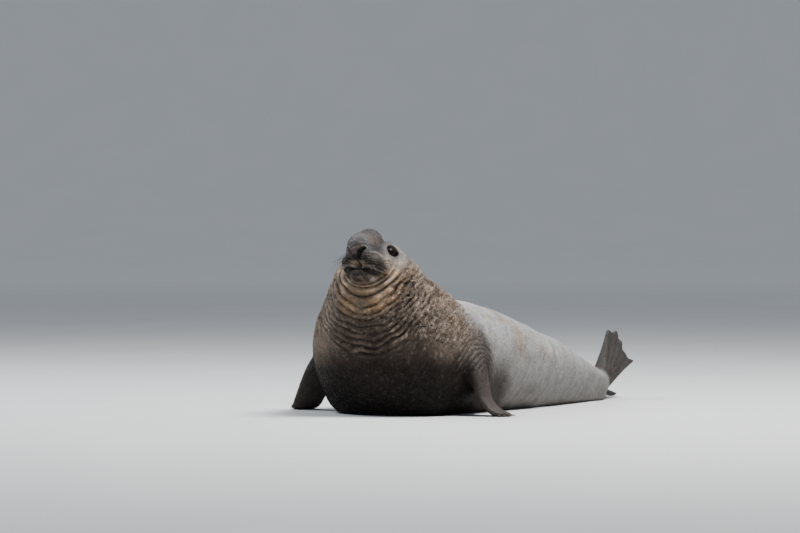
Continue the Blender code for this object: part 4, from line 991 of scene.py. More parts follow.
def on_whisker_pad(forward, left, up):
    """1 on a whisker pad, falling to 0 at its edges."""
    ahead = ramp(forward, *PAD_FORWARD) * ramp(left, *PAD_ASIDE)
    return ahead * ramp(-up, *PAD_BELOW_NOSE) * ramp(up - mouth_line(forward, left), *PAD_ABOVE_LIP)


# Fine relief of the head, with heights and depths in metres
BED_DEPTH = 0.0040
PAD_GRAIN = 0.0012
NOSE_BACK_EDGE = (-0.02, 0.06)
NOSE_ABOVE = (-0.15, -0.10)
NOSE_LUMP = 0.0022
NOSE_GRAIN = 0.0008
NOSE_WRINKLE = 0.0026
NOSE_WRINKLE_GAP = 0.023
NOSE_WRINKLE_EDGE = (0.35, 1.0)
NOSE_WRINKLE_KEPT = (-0.45, 0.15)
NOSE_WRINKLE_SLANT = 0.35
NOSE_WRINKLE_BOW = 1.3
NOSE_WRINKLE_WANDER = 0.012
CHIN_BELOW_MOUTH = (0.004, 0.020)
CHIN_BACK_EDGE = (-0.05, 0.05)
CHIN_ABOVE = (-0.38, -0.34)
CHIN_LUMP = 0.0036
CHIN_GRAIN = 0.0012
CHEEK_BEHIND = (-0.06, 0.0)
CHEEK_ABOVE = (-0.30, -0.20)
CHEEK_LUMP = 0.0011


def fine_relief(points):
    """Whisker beds, wrinkles of the nose and chin, and small skin lumps that are only in the skin."""
    forward, left, up = head_place(points)
    lumps, grain = SKIN_LUMPS(points), SKIN_GRAIN(points)
    pad = on_whisker_pad(forward, left, up)
    total = pad * (PAD_GRAIN * grain - BED_DEPTH * (1.0 - whisker_row(left, up)))
    nose = ramp(forward, *NOSE_BACK_EDGE) * ramp(up, *NOSE_ABOVE)
    way = forward - NOSE_WRINKLE_SLANT * up + NOSE_WRINKLE_BOW * left**2
    way = way + NOSE_WRINKLE_WANDER * WARP_NARROW(points * 1.6)
    wrinkle = ramp(np.cos(2.0 * np.pi * way / NOSE_WRINKLE_GAP), *NOSE_WRINKLE_EDGE)
    wrinkle = wrinkle * ramp(SKIN_LUMPS(points * 0.5), *NOSE_WRINKLE_KEPT)
    total += nose * (NOSE_LUMP * lumps + NOSE_GRAIN * grain - NOSE_WRINKLE * wrinkle)
    chin = ramp(mouth_line(forward, left) - up, *CHIN_BELOW_MOUTH)
    chin = chin * ramp(forward, *CHIN_BACK_EDGE) * ramp(up, *CHIN_ABOVE)
    total += chin * (CHIN_LUMP * SKIN_LUMPS(points * FLATTENED) + CHIN_GRAIN * grain)
    cheek = ramp(-forward, *CHEEK_BEHIND) * ramp(up, *CHEEK_ABOVE)
    return total + CHEEK_LUMP * cheek * lumps


# The part of the body that can hold the head, before it is looked at more closely
HEAD_ABOVE = 0.9
HEAD_BEFORE = 0.0
SETTLING_ROUNDS = 2
SPLITTING_ROUNDS = 2


class Skin:
    """The whole skin as points and triangles, with what its colours need at each point."""

    def __init__(self):
        values, origin, step = lattice(body_distance, BODY_LOW, BODY_HIGH, SKIN_CELL, CELL_PARTS)
        points, faces = surface_net(values, origin, step)
        points = settled(body_distance, points, SETTLING_ROUNDS)
        rules = (fold_edges, shoulder_edges, face_edges, lid_edges)
        for rule in rules:
            for _ in range(SPLITTING_ROUNDS):
                count = len(points)
                points, faces = split_edges(points, faces, rule)
                if len(points) == count:
                    break
                points = np.concatenate([points[:count], settled(body_distance, points[count:], 1)])
        self.faces = faces
        self.smooth = points
        normals = vertex_normals(points, faces)
        carved = carve(points, normals)
        near_head = (points[:, 2] > HEAD_ABOVE) & (points[:, 1] < HEAD_BEFORE)
        fine = neck_wrinkles(points)
        fine[near_head] += fine_relief(points[near_head])
        carved += normals * fine[:, None]
        self.sunk = np.sum((points - carved) * normals, axis=1)
        normals = vertex_normals(carved, faces)
        inner = carved - normals * COAT_DEPTH
        inner[:, 2] = np.maximum(inner[:, 2], 0.0)
        self.points = inner
        self.normals = normals


def eyeball_middle(side):
    return eye_axes(side)[0]


def frame_shift():
    """From the shape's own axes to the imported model's: the left eyeball is in both."""
    low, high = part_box("eye_left")
    return (np.array(low) + np.array(high)) / 2 - eyeball_middle(1)


def linked(name, data):
    """A new object of the scene."""
    made = bpy.data.objects.new(name, data)
    bpy.context.scene.collection.objects.link(made)
    return made


def store(mesh, name, kind, values):
    """A named attribute at every point of a mesh."""
    attribute = mesh.attributes.new(name, kind, "POINT")
    key = {"FLOAT": "value", "FLOAT_VECTOR": "vector", "FLOAT_COLOR": "color", "QUATERNION": "value"}[kind]
    attribute.data.foreach_set(key, np.ascontiguousarray(values, np.float32).ravel())


def blend_in(colour, other, share):
    """The colours with another mixed in by a share at each point."""
    return colour * (1.0 - share[:, None]) + np.array(other) * share[:, None]


# The coat's colours
SILVER = (0.285, 0.280, 0.275)
SILVER_CLOUD = (0.225, 0.210, 0.196)
NECK_FAWN = (0.250, 0.195, 0.152)
THROAT_OCHRE = (0.230, 0.140, 0.072)
THROAT_BROWN = (0.062, 0.045, 0.035)
FACE_PALE = (0.340, 0.290, 0.235)
PAD_DARK = (0.008, 0.006, 0.006)
CHIN_DARK = (0.030, 0.021, 0.017)
# Painted shade inside the nostrils and under the overhang of the nose
NOSTRIL_SHADE = (0.004, 0.003, 0.003)
FLIPPER_BROWN = (0.070, 0.058, 0.053)
WEB_DARK = (0.036, 0.031, 0.029)
# How far apart the whiskers of a row grow
BED_STEP = 0.014
# How much farther down the neck the face's colours reach at the sides
FACE_REACH = 0.10
CLOUDS = Bumps(11, 0.22)
PATCHES = Bumps(12, 0.07)
FLECKS = Bumps(13, 0.022)

# A colour laid over others: how much of it shows at most, the value at which it starts, and the one at
# which it is full. Where the start is the larger of the two, the colour fades out as the value grows.
Layer = namedtuple("Layer", "colour share start end")


def lay(colour, layer, value, where=1.0):
    """The colours with a layer over them, as far as the value has come from its start to its end."""
    return blend_in(colour, layer.colour, layer.share * where * ramp(value, layer.start, layer.end))


def plain(colour, points):
    """One colour for every point."""
    return np.tile(np.array(colour), (len(points), 1))


def oval_away(across, up, oval):
    """0 at the middle of an oval and 1 on its edge."""
    middle_across, middle_up, half_width, half_height = oval
    return np.hypot((across - middle_across) / half_width, (up - middle_up) / half_height)


# The trunk's layers, by height, by how far back a point lies, or by patches. Ovals are seen from the side:
# how far back and up their middle is, and their half length and half height.
SHADE_BELOW = Layer((0.130, 0.116, 0.104), 0.85, 0.34, 0.03)
SHADE_WEAKENS = (0.9, 1.5)
# A painted sky sheen that lightens and blues the top of the back, reaching lower towards the tail
PAINTED_SKY_SHEEN_TOP = Layer((0.400, 0.410, 0.425), 0.75, 0.57, 0.80)
SHEEN_SLOPE = 0.17
SHEEN_WANDER = 0.04
CLOUD_SHARE = 0.55
OCHRE_STREAKS = Layer((0.270, 0.205, 0.140), 0.60, 0.25, 0.70)
STREAK_SHAPE = (1.0, 1.0, 0.35)
STREAK_LEAN = (0.0, 0.5, 0.0)
STREAK_HEIGHT = (0.30, 0.55)
STREAKS_FADE = (1.7, 1.1)
# Painted shade on the flank behind and below the fore flippers
ARMPIT_PAINTED_SHADE = Layer((0.035, 0.029, 0.025), 0.94, 1.25, 0.50)
ARMPIT_OVAL = (0.46, 0.05, 0.30, 0.40)
BROWN_SHOULDER = Layer(THROAT_BROWN, 0.75, 1.15, 0.65)
SHOULDER_OVAL = (0.20, 0.40, 0.24, 0.34)
OVAL_WANDER = 0.15


def trunk_colours(points):
    """Silver back and flanks, darker below, with a painted sheen on top and painted shade behind the fore
    flippers.
    """
    back, up = points[:, 1], points[:, 2]
    colour = lay(plain(SILVER, points), SHADE_BELOW, up, 1.0 - 0.5 * ramp(back, *SHADE_WEAKENS))
    # The painted sky sheen over the top of the back, with fewer clouds under it
    sheen_height = up + SHEEN_SLOPE * back + SHEEN_WANDER * PATCHES(points)
    colour = lay(colour, PAINTED_SKY_SHEEN_TOP, sheen_height)
    top = ramp(sheen_height, PAINTED_SKY_SHEEN_TOP.start, PAINTED_SKY_SHEEN_TOP.end)
    cloud = 0.5 + 0.5 * CLOUDS(points)
    colour = blend_in(colour, SILVER_CLOUD, CLOUD_SHARE * cloud * (1.0 - 0.5 * top))
    streaked = points * STREAK_SHAPE + np.outer(up, STREAK_LEAN)
    in_band = ramp(up, *STREAK_HEIGHT) * ramp(back, *STREAKS_FADE)
    colour = lay(colour, OCHRE_STREAKS, PATCHES(streaked), in_band)
    wander = OVAL_WANDER * CLOUDS(points)
    colour = lay(colour, ARMPIT_PAINTED_SHADE, oval_away(back, up, ARMPIT_OVAL) + wander)
    return lay(colour, BROWN_SHOULDER, oval_away(back, up, SHOULDER_OVAL) + wander)


# The neck's layers. Angles are in radians round the neck, from the middle of the throat to the left.
BROWN_THROAT = Layer(THROAT_BROWN, 1.0, -0.02, 0.12)
THROAT_EDGE = (1.45, 0.75)
THROAT_WANDER = 0.20
# The brown throat is thinned on the right side, so that it shows lighter there as painted light
THROAT_RIGHT_EDGE = (0.22, 0.75)
THROAT_RIGHT_WANDER = 0.15
THROAT_RIGHT_PAINTED_LIGHT = 0.70
UPPER_THROAT = (0.22, 0.10)
RIGHT_SIDE = (-0.10, -0.75)
# How much ochre there is everywhere, how much more on the right, and how much it varies in patches
OCHRE_SHARES = (0.40, 0.45, 0.50)
SANDY_THROAT = Layer((0.400, 0.290, 0.175), 1.0, -0.35, 0.45)
SAND_SHARES = (0.20, 0.45)
SAND_FINENESS = 1.3
BROWN_SIDES = Layer(THROAT_BROWN, 0.55, -0.15, 0.35)
SIDES_START = (0.8, 1.2)
SIDES_END = (2.7, 2.2)
# The brown patches are thinned on the right side as painted light
RIGHT_SIDE_WEAKENS = (0.6, 1.2)
RIGHT_SIDE_PAINTED_LIGHT = 0.6
SIDE_FINENESS = 0.8
WORN_SPOTS = Layer((0.400, 0.330, 0.265), 0.60, 0.25, 0.75)
WORN_SIDES = (0.3, 1.0)
WORN_FINENESS = 0.7


def neck_colours(points):
    """Fawn neck with a brown and ochre throat, brown patches on its sides and pale worn spots. The brown is
    thinned on the right side as painted light.
    """
    down, angle = neck_place(points)
    turn = np.abs(angle)
    painted_light_right = ramp(-angle + THROAT_RIGHT_WANDER * CLOUDS(points), *THROAT_RIGHT_EDGE)
    front = ramp(turn + THROAT_WANDER * CLOUDS(points), *THROAT_EDGE)
    front = front * (1.0 - THROAT_RIGHT_PAINTED_LIGHT * painted_light_right)
    colour = lay(plain(NECK_FAWN, points), BROWN_THROAT, down, front)
    throat = front * ramp(down, *UPPER_THROAT)
    right = ramp(angle, *RIGHT_SIDE)
    everywhere, on_right, in_patches = OCHRE_SHARES
    ochre = np.clip(everywhere + on_right * right + in_patches * PATCHES(points), 0.0, 1.0)
    colour = blend_in(colour, THROAT_OCHRE, throat * ochre)
    everywhere, on_right = SAND_SHARES
    sand = throat * (everywhere + on_right * right)
    colour = lay(colour, SANDY_THROAT, PATCHES(SAND_FINENESS * points), sand)
    side = ramp(turn, *SIDES_START) * ramp(turn, *SIDES_END)
    side = side * (1.0 - RIGHT_SIDE_PAINTED_LIGHT * ramp(-angle, *RIGHT_SIDE_WEAKENS))
    laid = laid_with_folds(points)
    colour = lay(colour, BROWN_SIDES, PATCHES(SIDE_FINENESS * laid), side)
    return lay(colour, WORN_SPOTS, FLECKS(WORN_FINENESS * laid), 0.5 + 0.5 * ramp(turn, *WORN_SIDES))


# The breast's layers, by height: its dark wet coat with painted shade over it, and more painted shade near
# the floor
WET_BREAST_AND_SHADE = Layer((0.0115, 0.0072, 0.0056), 0.96, 0.64, 0.34)
BELLY_PAINTED_SHADE = Layer((0.004, 0.003, 0.003), 0.90, 0.34, 0.10)
BREAST_BACK_EDGE = (0.36, 0.14)
BREAST_SLANT = 0.25
BREAST_WANDER = 0.05
BELLY_WANDER = 0.04


def breast_wet_and_shaded(points, colour):
    """The colours with the breast darkened by its dark wet coat and by painted shade, from under the neck to
    the floor and back to the flippers.
    """
    up = points[:, 2]
    clouds = CLOUDS(points)
    back = points[:, 1] - BREAST_SLANT * np.abs(points[:, 0]) + BREAST_WANDER * clouds
    breast = ramp(back, *BREAST_BACK_EDGE)
    colour = lay(colour, WET_BREAST_AND_SHADE, up + BREAST_WANDER * clouds, breast)
    return lay(colour, BELLY_PAINTED_SHADE, up + BELLY_WANDER * clouds, breast)


# The head's layers, in the head's own axes
GREY_CROWN = Layer((0.205, 0.195, 0.188), 0.85, -0.10, -0.02)
GREY_NOSE = Layer((0.074, 0.067, 0.069), 1.0, 0.02, 0.10)
NOSE_SLANT = 0.6
# Painted shade over the upward face of the proboscis, and painted light on its tip
NOSE_TOP_PAINTED_SHADE = Layer((0.050, 0.045, 0.048), 0.7, -0.02, 0.07)
NOSE_TIP_PAINTED_LIGHT = Layer((0.112, 0.106, 0.110), 0.8, 0.24, 0.36)
NOSE_TIP_SLANT = 0.5
UMBER_NOSE = Layer((0.090, 0.058, 0.048), 0.55, 0.05, 0.55)
UMBER_SHAPE = (1.0, 1.0, 0.6)


def nose_colours(points, colour, forward, up):
    """Grey over the proboscis, with painted shade on its top, painted light at its tip, and umber patches."""
    way = forward + NOSE_SLANT * up
    nose = ramp(way, GREY_NOSE.start, GREY_NOSE.end)
    colour = lay(colour, GREY_NOSE, way)
    colour = lay(colour, NOSE_TOP_PAINTED_SHADE, up, nose)
    colour = lay(colour, NOSE_TIP_PAINTED_LIGHT, forward - NOSE_TIP_SLANT * up)
    return lay(colour, UMBER_NOSE, PATCHES(points * UMBER_SHAPE), nose)


# A whisker pad seen from the side: how far forward and up its middle is, its half length and half height
PAD_OVAL = (0.160, -0.188, 0.150, 0.092)
DARK_PAD = Layer(PAD_DARK, 1.0, 1.04, 0.80)
PAD_WANDER = 0.06
PAD_STARTS_BELOW = (0.118, 0.178)
PALE_RIM = Layer((0.460, 0.420, 0.370), 0.6, 0.20, 0.17)
RIM_AWAY = 1.06
RIM_SPREAD = 0.045
RIM_ASIDE = (0.09, 0.13)
OCHRE_MIDDLE = Layer((0.300, 0.235, 0.150), 0.75, 0.085, 0.045)
OCHRE_WANDER = 0.012
OCHRE_ABOVE_LIP = (0.007, 0.017)
OCHRE_BELOW_NOSE = (0.180, 0.195)
BESIDE_GROOVE = (0.001, 0.007)
FRONT_OF_MOUTH = (0.14, 0.18)
BROWN_ROWS = Layer((0.150, 0.122, 0.092), 0.80, 0.55, 0.95)
ROW_FINENESS = 1.7
BLACK_BEDS = Layer(PAD_DARK, 0.85, 0.55, 0.85)
PAD_RADIUS = 0.153


def pad_colours(points, colour, forward, left, up):
    """Dark whisker pads with a pale rim, an ochre middle, brown rows and a black spot for each whisker."""
    away = oval_away(forward, up, PAD_OVAL)
    flecks = FLECKS(points)
    colour = lay(colour, DARK_PAD, away + PAD_WANDER * flecks, ramp(-up, *PAD_STARTS_BELOW))
    colour = lay(colour, PALE_RIM, -up, ridge(away - RIM_AWAY, RIM_SPREAD) * ramp(left, *RIM_ASIDE))
    above = up - mouth_line(forward, left)
    middle = ramp(above, *OCHRE_ABOVE_LIP) * ramp(-up, *OCHRE_BELOW_NOSE)
    middle = middle * ramp(left, *BESIDE_GROOVE) * ramp(forward, *FRONT_OF_MOUTH)
    colour = lay(colour, OCHRE_MIDDLE, left + OCHRE_WANDER * flecks, middle)
    pad = on_whisker_pad(forward, left, up)
    row = whisker_row(left, up)
    colour = lay(colour, BROWN_ROWS, row, pad * (0.60 + 0.40 * FLECKS(ROW_FINENESS * points)))
    along = np.arctan2(left - WHISKER_HEART[1], forward - WHISKER_HEART[0]) * PAD_RADIUS
    return lay(colour, BLACK_BEDS, pad * row * np.abs(np.sin(np.pi * along / BED_STEP)))


# The mouth's layers, by how far forward a point is. A band is given by how far above the mouth's line its
# middle lies, and how wide it is.
# The upper lip's own grey, made lighter still as painted light on the shaded underside of the whisker pads
GREY_LIP_PAINTED_LIGHT = Layer((0.250, 0.212, 0.195), 0.75, 0.02, 0.08)
GREY_LIP_BAND = (0.018, 0.011)
CHIN_FORWARD = (0.02, 0.09)
CHIN_BELOW_LIP = (-0.006, 0.006)
CHIN_BOTTOM = (0.355, 0.325)
CHIN_SIDES = (0.100, 0.060)
CHIN_WANDER = 0.02
BROWN_CHIN = Layer((0.125, 0.095, 0.076), 0.8, 0.05, 0.55)
PALE_LIP = Layer((0.420, 0.390, 0.330), 0.60, 0.14, 0.18)
PALE_LIP_BAND = (0.017, 0.010)
PALE_LIP_ASIDE = (0.034, 0.020)
DARK_LIP_LINE = Layer((0.010, 0.007, 0.006), 0.92, -0.01, 0.02)
LIP_LINE_WIDTH = 0.0085


def mouth_colours(points, colour, forward, left, up):
    """Grey upper lip, lightened further as painted light on its shaded underside, dark chin with brown lumps,
    pale spots in front and a dark line between the lips.
    """
    above = up - mouth_line(forward, left)
    flecks = FLECKS(points)
    height, width = GREY_LIP_BAND
    colour = lay(colour, GREY_LIP_PAINTED_LIGHT, forward, ridge(above - height, width) * (0.65 + 0.35 * flecks))
    chin = ramp(-above, *CHIN_BELOW_LIP) * ramp(forward, *CHIN_FORWARD) * ramp(-up, *CHIN_BOTTOM)
    chin = chin * ramp(left + CHIN_WANDER * flecks, *CHIN_SIDES)
    colour = blend_in(colour, CHIN_DARK, chin)
    colour = lay(colour, BROWN_CHIN, SKIN_LUMPS(points * FLATTENED), chin)
    height, width = PALE_LIP_BAND
    place, spread = PALE_LIP_ASIDE
    colour = lay(colour, PALE_LIP, forward, ridge(above - height, width) * ridge(left - place, spread))
    return lay(colour, DARK_LIP_LINE, forward, ridge(above, LIP_LINE_WIDTH))


GREY_LIDS = Layer((0.190, 0.182, 0.182), 0.7, 0.055, 0.010)
DARK_LIDS = Layer((0.012, 0.010, 0.009), 1.0, 0.012, 0.003)
LID_SIDE = (0.02, 0.05)
# Painted shade in the nostrils' pits, and below the nose where it overhangs the lip
NOSTRIL_PIT_SHADE = Layer(NOSTRIL_SHADE, 1.0, 0.35, 0.80)
SHADE_UNDER_NOSE = Layer(NOSTRIL_SHADE, 0.80, 1.2, 0.4)
UNDER_NOSE_OVAL = (0.0, -0.168, 0.036, 0.019)
UNDER_NOSE_FORWARD = (0.20, 0.24)


def head_colours(points):
    """Grey proboscis, dark whisker pads and chin, pale cheeks and dark lids, with painted shade in the
    nostrils and under the nose.
    """
    local = to_head(points)
    forward, up = local[:, 0], local[:, 2]
    left = np.abs(local[:, 1])
    colour = lay(plain(FACE_PALE, points), GREY_CROWN, up)
    colour = nose_colours(points, colour, forward, up)
    colour = pad_colours(points, colour, forward, left, up)
    colour = mouth_colours(points, colour, forward, left, up)
    for side in (1, -1):
        lid = almond(points, side, EYE_OPENING)
        near = ramp(local[:, 1] * side, *LID_SIDE)
        colour = lay(colour, GREY_LIDS, lid, near)
        colour = lay(colour, DARK_LIDS, lid, near)
    colour = lay(colour, NOSTRIL_PIT_SHADE, nostrils(local))
    below = oval_away(left, up, UNDER_NOSE_OVAL)
    return lay(colour, SHADE_UNDER_NOSE, below, ramp(forward, *UNDER_NOSE_FORWARD))


LIMB_ENDS = 0.02
FORE_STARTS = -0.10
HIND_STARTS = -0.06


def limb_shares(points):
    """How much each point belongs to a fore flipper, and how much to a hind flipper."""
    torso = torso_distance(points)
    fore = np.minimum(LEFT_FORE.distance(points), RIGHT_FORE.distance(points))
    hind = np.minimum(LEFT_HIND.distance(points), RIGHT_HIND.distance(points))
    return ramp(fore - torso, LIMB_ENDS, FORE_STARTS), ramp(hind - torso, LIMB_ENDS, HIND_STARTS)


# How dark the creases of the folds are painted, by shade and dirt, less on the sides of the neck and on the
# head, and how bright the painted highlight on the crests is. Both vary in patches, and fade behind the
# shoulders.
CREASE_SHADE = 0.74
CREASE_SIDE_LOSS = 0.30
CREASE_HEAD_LOSS = 0.55
CREASE_DEPTH = (0.000, 0.010)
CREASE_FINENESS = 0.7
CREASE_PATCHES = (-0.35, 0.35)
CREST_PAINTED_HIGHLIGHT = 0.55
CREST_FRONT_GAIN = 0.65
CREST_HEIGHT = (0.000, 0.007)
CREST_FINENESS = 0.9
CREST_PATCHES = (-0.45, 0.35)
FOLDS_ABOVE = (0.2, 0.4)
FOLDS_BACK_EDGE = (0.55, 0.30)
LIPS_MIDDLE_WIDTH = 0.045
LIPS_MIDDLE_ABOVE = (0.004, 0.012)


def folds_shaded(points, colour, sunk, side, at_head):
    """The colours darkened in creases by painted shade and dirt, and lightened on crests by a painted
    highlight. The middle of the upper lip stays as it is.
    """
    folded = ramp(points[:, 2], *FOLDS_ABOVE) * (0.12 + 0.88 * ramp(points[:, 1], *FOLDS_BACK_EDGE))
    local = to_head(points)
    above_mouth = local[:, 2] - mouth_line(local[:, 0], np.abs(local[:, 1]))
    lips_middle = ridge(local[:, 1], LIPS_MIDDLE_WIDTH) * ramp(above_mouth, *LIPS_MIDDLE_ABOVE)
    broken_up = 0.60 + 0.40 * ramp(PATCHES(CREASE_FINENESS * points), *CREASE_PATCHES)
    depth = CREASE_SHADE * broken_up * (1.0 - CREASE_SIDE_LOSS * side) * (1.0 - CREASE_HEAD_LOSS * at_head)
    depth = depth * (1.0 - at_head * lips_middle) * ramp(sunk, *CREASE_DEPTH) * folded
    # A painted highlight on the crests
    light = (CREST_PAINTED_HIGHLIGHT + CREST_FRONT_GAIN * (1.0 - side)) * (1.0 - at_head)
    light = light * ramp(PATCHES(CREST_FINENESS * points), *CREST_PATCHES)
    light = light * ramp(-sunk, *CREST_HEIGHT) * folded
    return colour * (1.0 - depth)[:, None] * (1.0 + light)[:, None]


# Where the neck's colours give way to the trunk's, and the head's to the neck's
NAPE_EDGE = (0.20, 0.00)
NAPE_SLANT = 0.30
NAPE_HEIGHT = 0.6
NAPE_CLOUD_WANDER = 0.08
NAPE_PATCH_WANDER = 0.05
HEAD_EDGE_DOWN = (-0.01, -0.12)
HEAD_EDGE_WANDER = 0.03
HEAD_BACK_EDGE = (0.42, 0.16)
NECK_SIDE = (0.9, 1.5)
NECK_BACK = (1.9, 2.7)
NECK_BACK_LOSS = 0.8
FORE_SHARE = 0.90
DARK_FLIPPER_TOP = Layer((0.030, 0.024, 0.021), 0.6, 0.10, 0.42)
HIND_SHARE = 0.95
DARKEST = 0.003
LIGHTEST = 0.8


def coat_colours(points, sunk):
    """The colour of skin and coat at each point, with its painted shade and highlights, without the finest
    marks.
    """
    stray = NAPE_CLOUD_WANDER * CLOUDS(points) + NAPE_PATCH_WANDER * PATCHES(points)
    nape = ramp(points[:, 1] + stray - NAPE_SLANT * (points[:, 2] - NAPE_HEIGHT), *NAPE_EDGE)
    colour = blend_in(trunk_colours(points), neck_colours(points), nape)
    colour = breast_wet_and_shaded(points, colour)
    down, angle = neck_place(points)
    turn = np.abs(angle)
    side = ramp(turn, *NECK_SIDE)
    reach = FACE_REACH * side * (1.0 - NECK_BACK_LOSS * ramp(turn, *NECK_BACK))
    at_head = ramp(down - reach + HEAD_EDGE_WANDER * PATCHES(points), *HEAD_EDGE_DOWN)
    at_head = at_head * ramp(-to_head(points)[:, 0], *HEAD_BACK_EDGE)
    colour = blend_in(colour, head_colours(points), at_head)
    fore, hind = limb_shares(points)
    colour = blend_in(colour, FLIPPER_BROWN, FORE_SHARE * fore)
    colour = lay(colour, DARK_FLIPPER_TOP, points[:, 2], fore)
    colour = blend_in(colour, WEB_DARK, HIND_SHARE * hind)
    return np.clip(folds_shaded(points, colour, sunk, side, at_head), DARKEST, LIGHTEST)


# How broken up the coat is: everywhere, and how much more on the front and the sides of the neck
BROKEN_EVERYWHERE = 0.12
BROKEN_FRONT = 0.25
BROKEN_SIDES = 0.75
BROKEN_DOWN = (-0.02, 0.08)
BROKEN_BACK_EDGE = (0.45, 0.15)
BROKEN_TURN = (0.6, 1.3)
BROKEN_ABOVE = (0.45, 0.8)


def roughness_marks(points):
    """Where the coat is broken up by scars and lumps: the sides of the neck most, the face and rear least."""
    down, angle = neck_place(points)
    on_neck = ramp(down, *BROKEN_DOWN) * ramp(points[:, 1], *BROKEN_BACK_EDGE)
    on_neck = on_neck * (BROKEN_FRONT + BROKEN_SIDES * ramp(np.abs(angle), *BROKEN_TURN))
    return np.clip(BROKEN_EVERYWHERE + on_neck * ramp(points[:, 2], *BROKEN_ABOVE), 0.0, 1.0)


# Which way the hair lies on the trunk, the neck and the flippers, the last for a flipper on the left
TRUNK_LIE = (0.0, 1.0, -0.30)
NECK_LIE = (0.0, 0.25, -1.0)
FLIPPER_LIE = (0.5, 0.0, -1.0)
NECK_LIE_BACK_EDGE = (0.45, 0.05)
NECK_ABOVE = (0.35, 0.6)
HEAD_LIE_STARTS = (-0.22, 0.0)
ABOVE_THROAT = (-0.40, -0.30)


def lie_of_coat(points, normals):
    """The unit direction in which the hair lies: back from the nose, down the neck, and to tail and tips."""
    on_neck = ramp(points[:, 1], *NECK_LIE_BACK_EDGE) * ramp(points[:, 2], *NECK_ABOVE)
    way = blend_in(plain(TRUNK_LIE, points), NECK_LIE, on_neck)
    local = to_head(points)
    at_head = ramp(local[:, 0], *HEAD_LIE_STARTS) * ramp(local[:, 2], *ABOVE_THROAT)
    way = blend_in(way, -HEAD_FORWARD, at_head)
    fore, _ = limb_shares(points)
    out = plain(FLIPPER_LIE, points)
    out[:, 0] *= np.sign(points[:, 0])
    way = blend_in(way, out, fore)
    way = way - normals * np.sum(way * normals, axis=1)[:, None]
    return way / np.maximum(row_lengths(way), 1e-9)[:, None]


# The unwrap that gives each tuft its place: round the body's line, with the flippers laid beside it.
SPINE_ROWS = (
    (0.090, -0.640, 1.420, 0.0, 1.0, 1.0, 1.0),
    (0.060, -0.330, 1.220, 11.0, 1.0, 1.0, 1.0),
    (0.010, -0.080, 0.860, 12.0, 1.0, 1.0, 1.0),
    (-0.010, 0.250, 0.500, 9.0, 1.0, 1.0, 1.0),
    (0.000, 0.850, 0.380, 3.0, 1.0, 1.0, 1.0),
    (0.000, 1.950, 0.220, 0.0, 1.0, 1.0, 1.0),
    (0.000, 3.020, 0.130, 0.0, 1.0, 1.0, 1.0),
)
SPINE = Sweep(body_rows(SPINE_ROWS), 0.03)
FAN_BEFORE_ANKLE = 0.1
FAN_LENGTH = 0.75
FAN_WIDTH = 0.7


def in_box(along, over, low, high):
    """Shares along and over a box, as places in the unwrap."""
    return np.stack((low[0] + (high[0] - low[0]) * along, low[1] + (high[1] - low[1]) * over), axis=-1)


def unwrap_round(sweep, points, low, high):
    """Places in a box of the unwrap: along the sweep, and round it."""
    place, _, across, up, _ = sweep.locate(points)
    along = np.clip(place / sweep.place[-1], 0.0, 1.0)
    round_it = np.arctan2(across, up) / (2.0 * np.pi) + 0.5
    return in_box(along, round_it, low, high)


def unwrap_flat(fan, points, low, high):
    """Places in a box of the unwrap: a fan's two faces side by side."""
    offset = points - fan.ankle
    along = np.clip((offset @ fan.ahead + FAN_BEFORE_ANKLE) / FAN_LENGTH, 0.0, 1.0)
    over = np.clip(offset @ fan.across / FAN_WIDTH + 0.5, 0.0, 1.0)
    over = 0.5 * over + 0.5 * (offset @ fan.normal > 0)
    return in_box(along, over, low, high)


# The boxes of the unwrap: lowest and highest corner
BODY_BOX = ((0.01, 0.01), (0.99, 0.68))
LEFT_FORE_BOX = ((0.01, 0.71), (0.24, 0.99))
RIGHT_FORE_BOX = ((0.26, 0.71), (0.49, 0.99))
LEFT_HIND_BOX = ((0.51, 0.71), (0.74, 0.99))
RIGHT_HIND_BOX = ((0.76, 0.71), (0.99, 0.99))


def unwrap(points):
    """Each point's place in the unwrap, in its own limb's box or the body's."""
    found = unwrap_round(SPINE, points, *BODY_BOX)
    fore, hind = limb_shares(points)
    on_left = points[:, 0] > 0
    limbs = (
        (fore > 0.5, on_left, unwrap_round, LEFT_FORE, LEFT_FORE_BOX),
        (fore > 0.5, ~on_left, unwrap_round, RIGHT_FORE, RIGHT_FORE_BOX),
        (hind > 0.5, on_left, unwrap_flat, LEFT_HIND, LEFT_HIND_BOX),
        (hind > 0.5, ~on_left, unwrap_flat, RIGHT_HIND, RIGHT_HIND_BOX),
    )
    for in_limb, on_side, unwrap_limb, limb, box in limbs:
        chosen = in_limb & on_side
        if chosen.any():
            found[chosen] = unwrap_limb(limb, points[chosen], *box)
    return found


def quaternions(ahead, outward):
    """Turns that take +X to the first direction and +Z as near as can be to the second."""
    x = unit(ahead)
    z = outward - x * np.sum(outward * x, axis=1)[:, None]
    z = unit(z)
    y = np.cross(z, x)
    turns = [Matrix(np.stack((a, b, c), axis=-1).tolist()).to_quaternion() for a, b, c in zip(x, y, z)]
    return np.array([turn[:] for turn in turns])


# Geometry nodes
PLANTING_INPUTS = (
    ("Geometry", "Geometry"),
    ("Form", "Object"),
    ("Length", "Float"),
    ("Patch", "Float"),
    ("Material", "Material"),
)


def put(tree, socket, value):
    """Gives a socket a value, or joins another node's output to it. None leaves it as it is."""
    if isinstance(value, bpy.types.NodeSocket):
        tree.links.new(value, socket)
    elif socket.type == "RGBA" and value is not None:
        socket.default_value = (*value, 1.0)
    elif value is not None:
        socket.default_value = value


def add_node(tree, kind, values=(), **settings):
    """A new node with its settings, and with a value or another node's output for each input named."""
    node = tree.nodes.new(kind)
    for name, setting in settings.items():
        setattr(node, name, setting)
    for key, value in dict(values).items():
        put(tree, node.inputs[key], value)
    return node


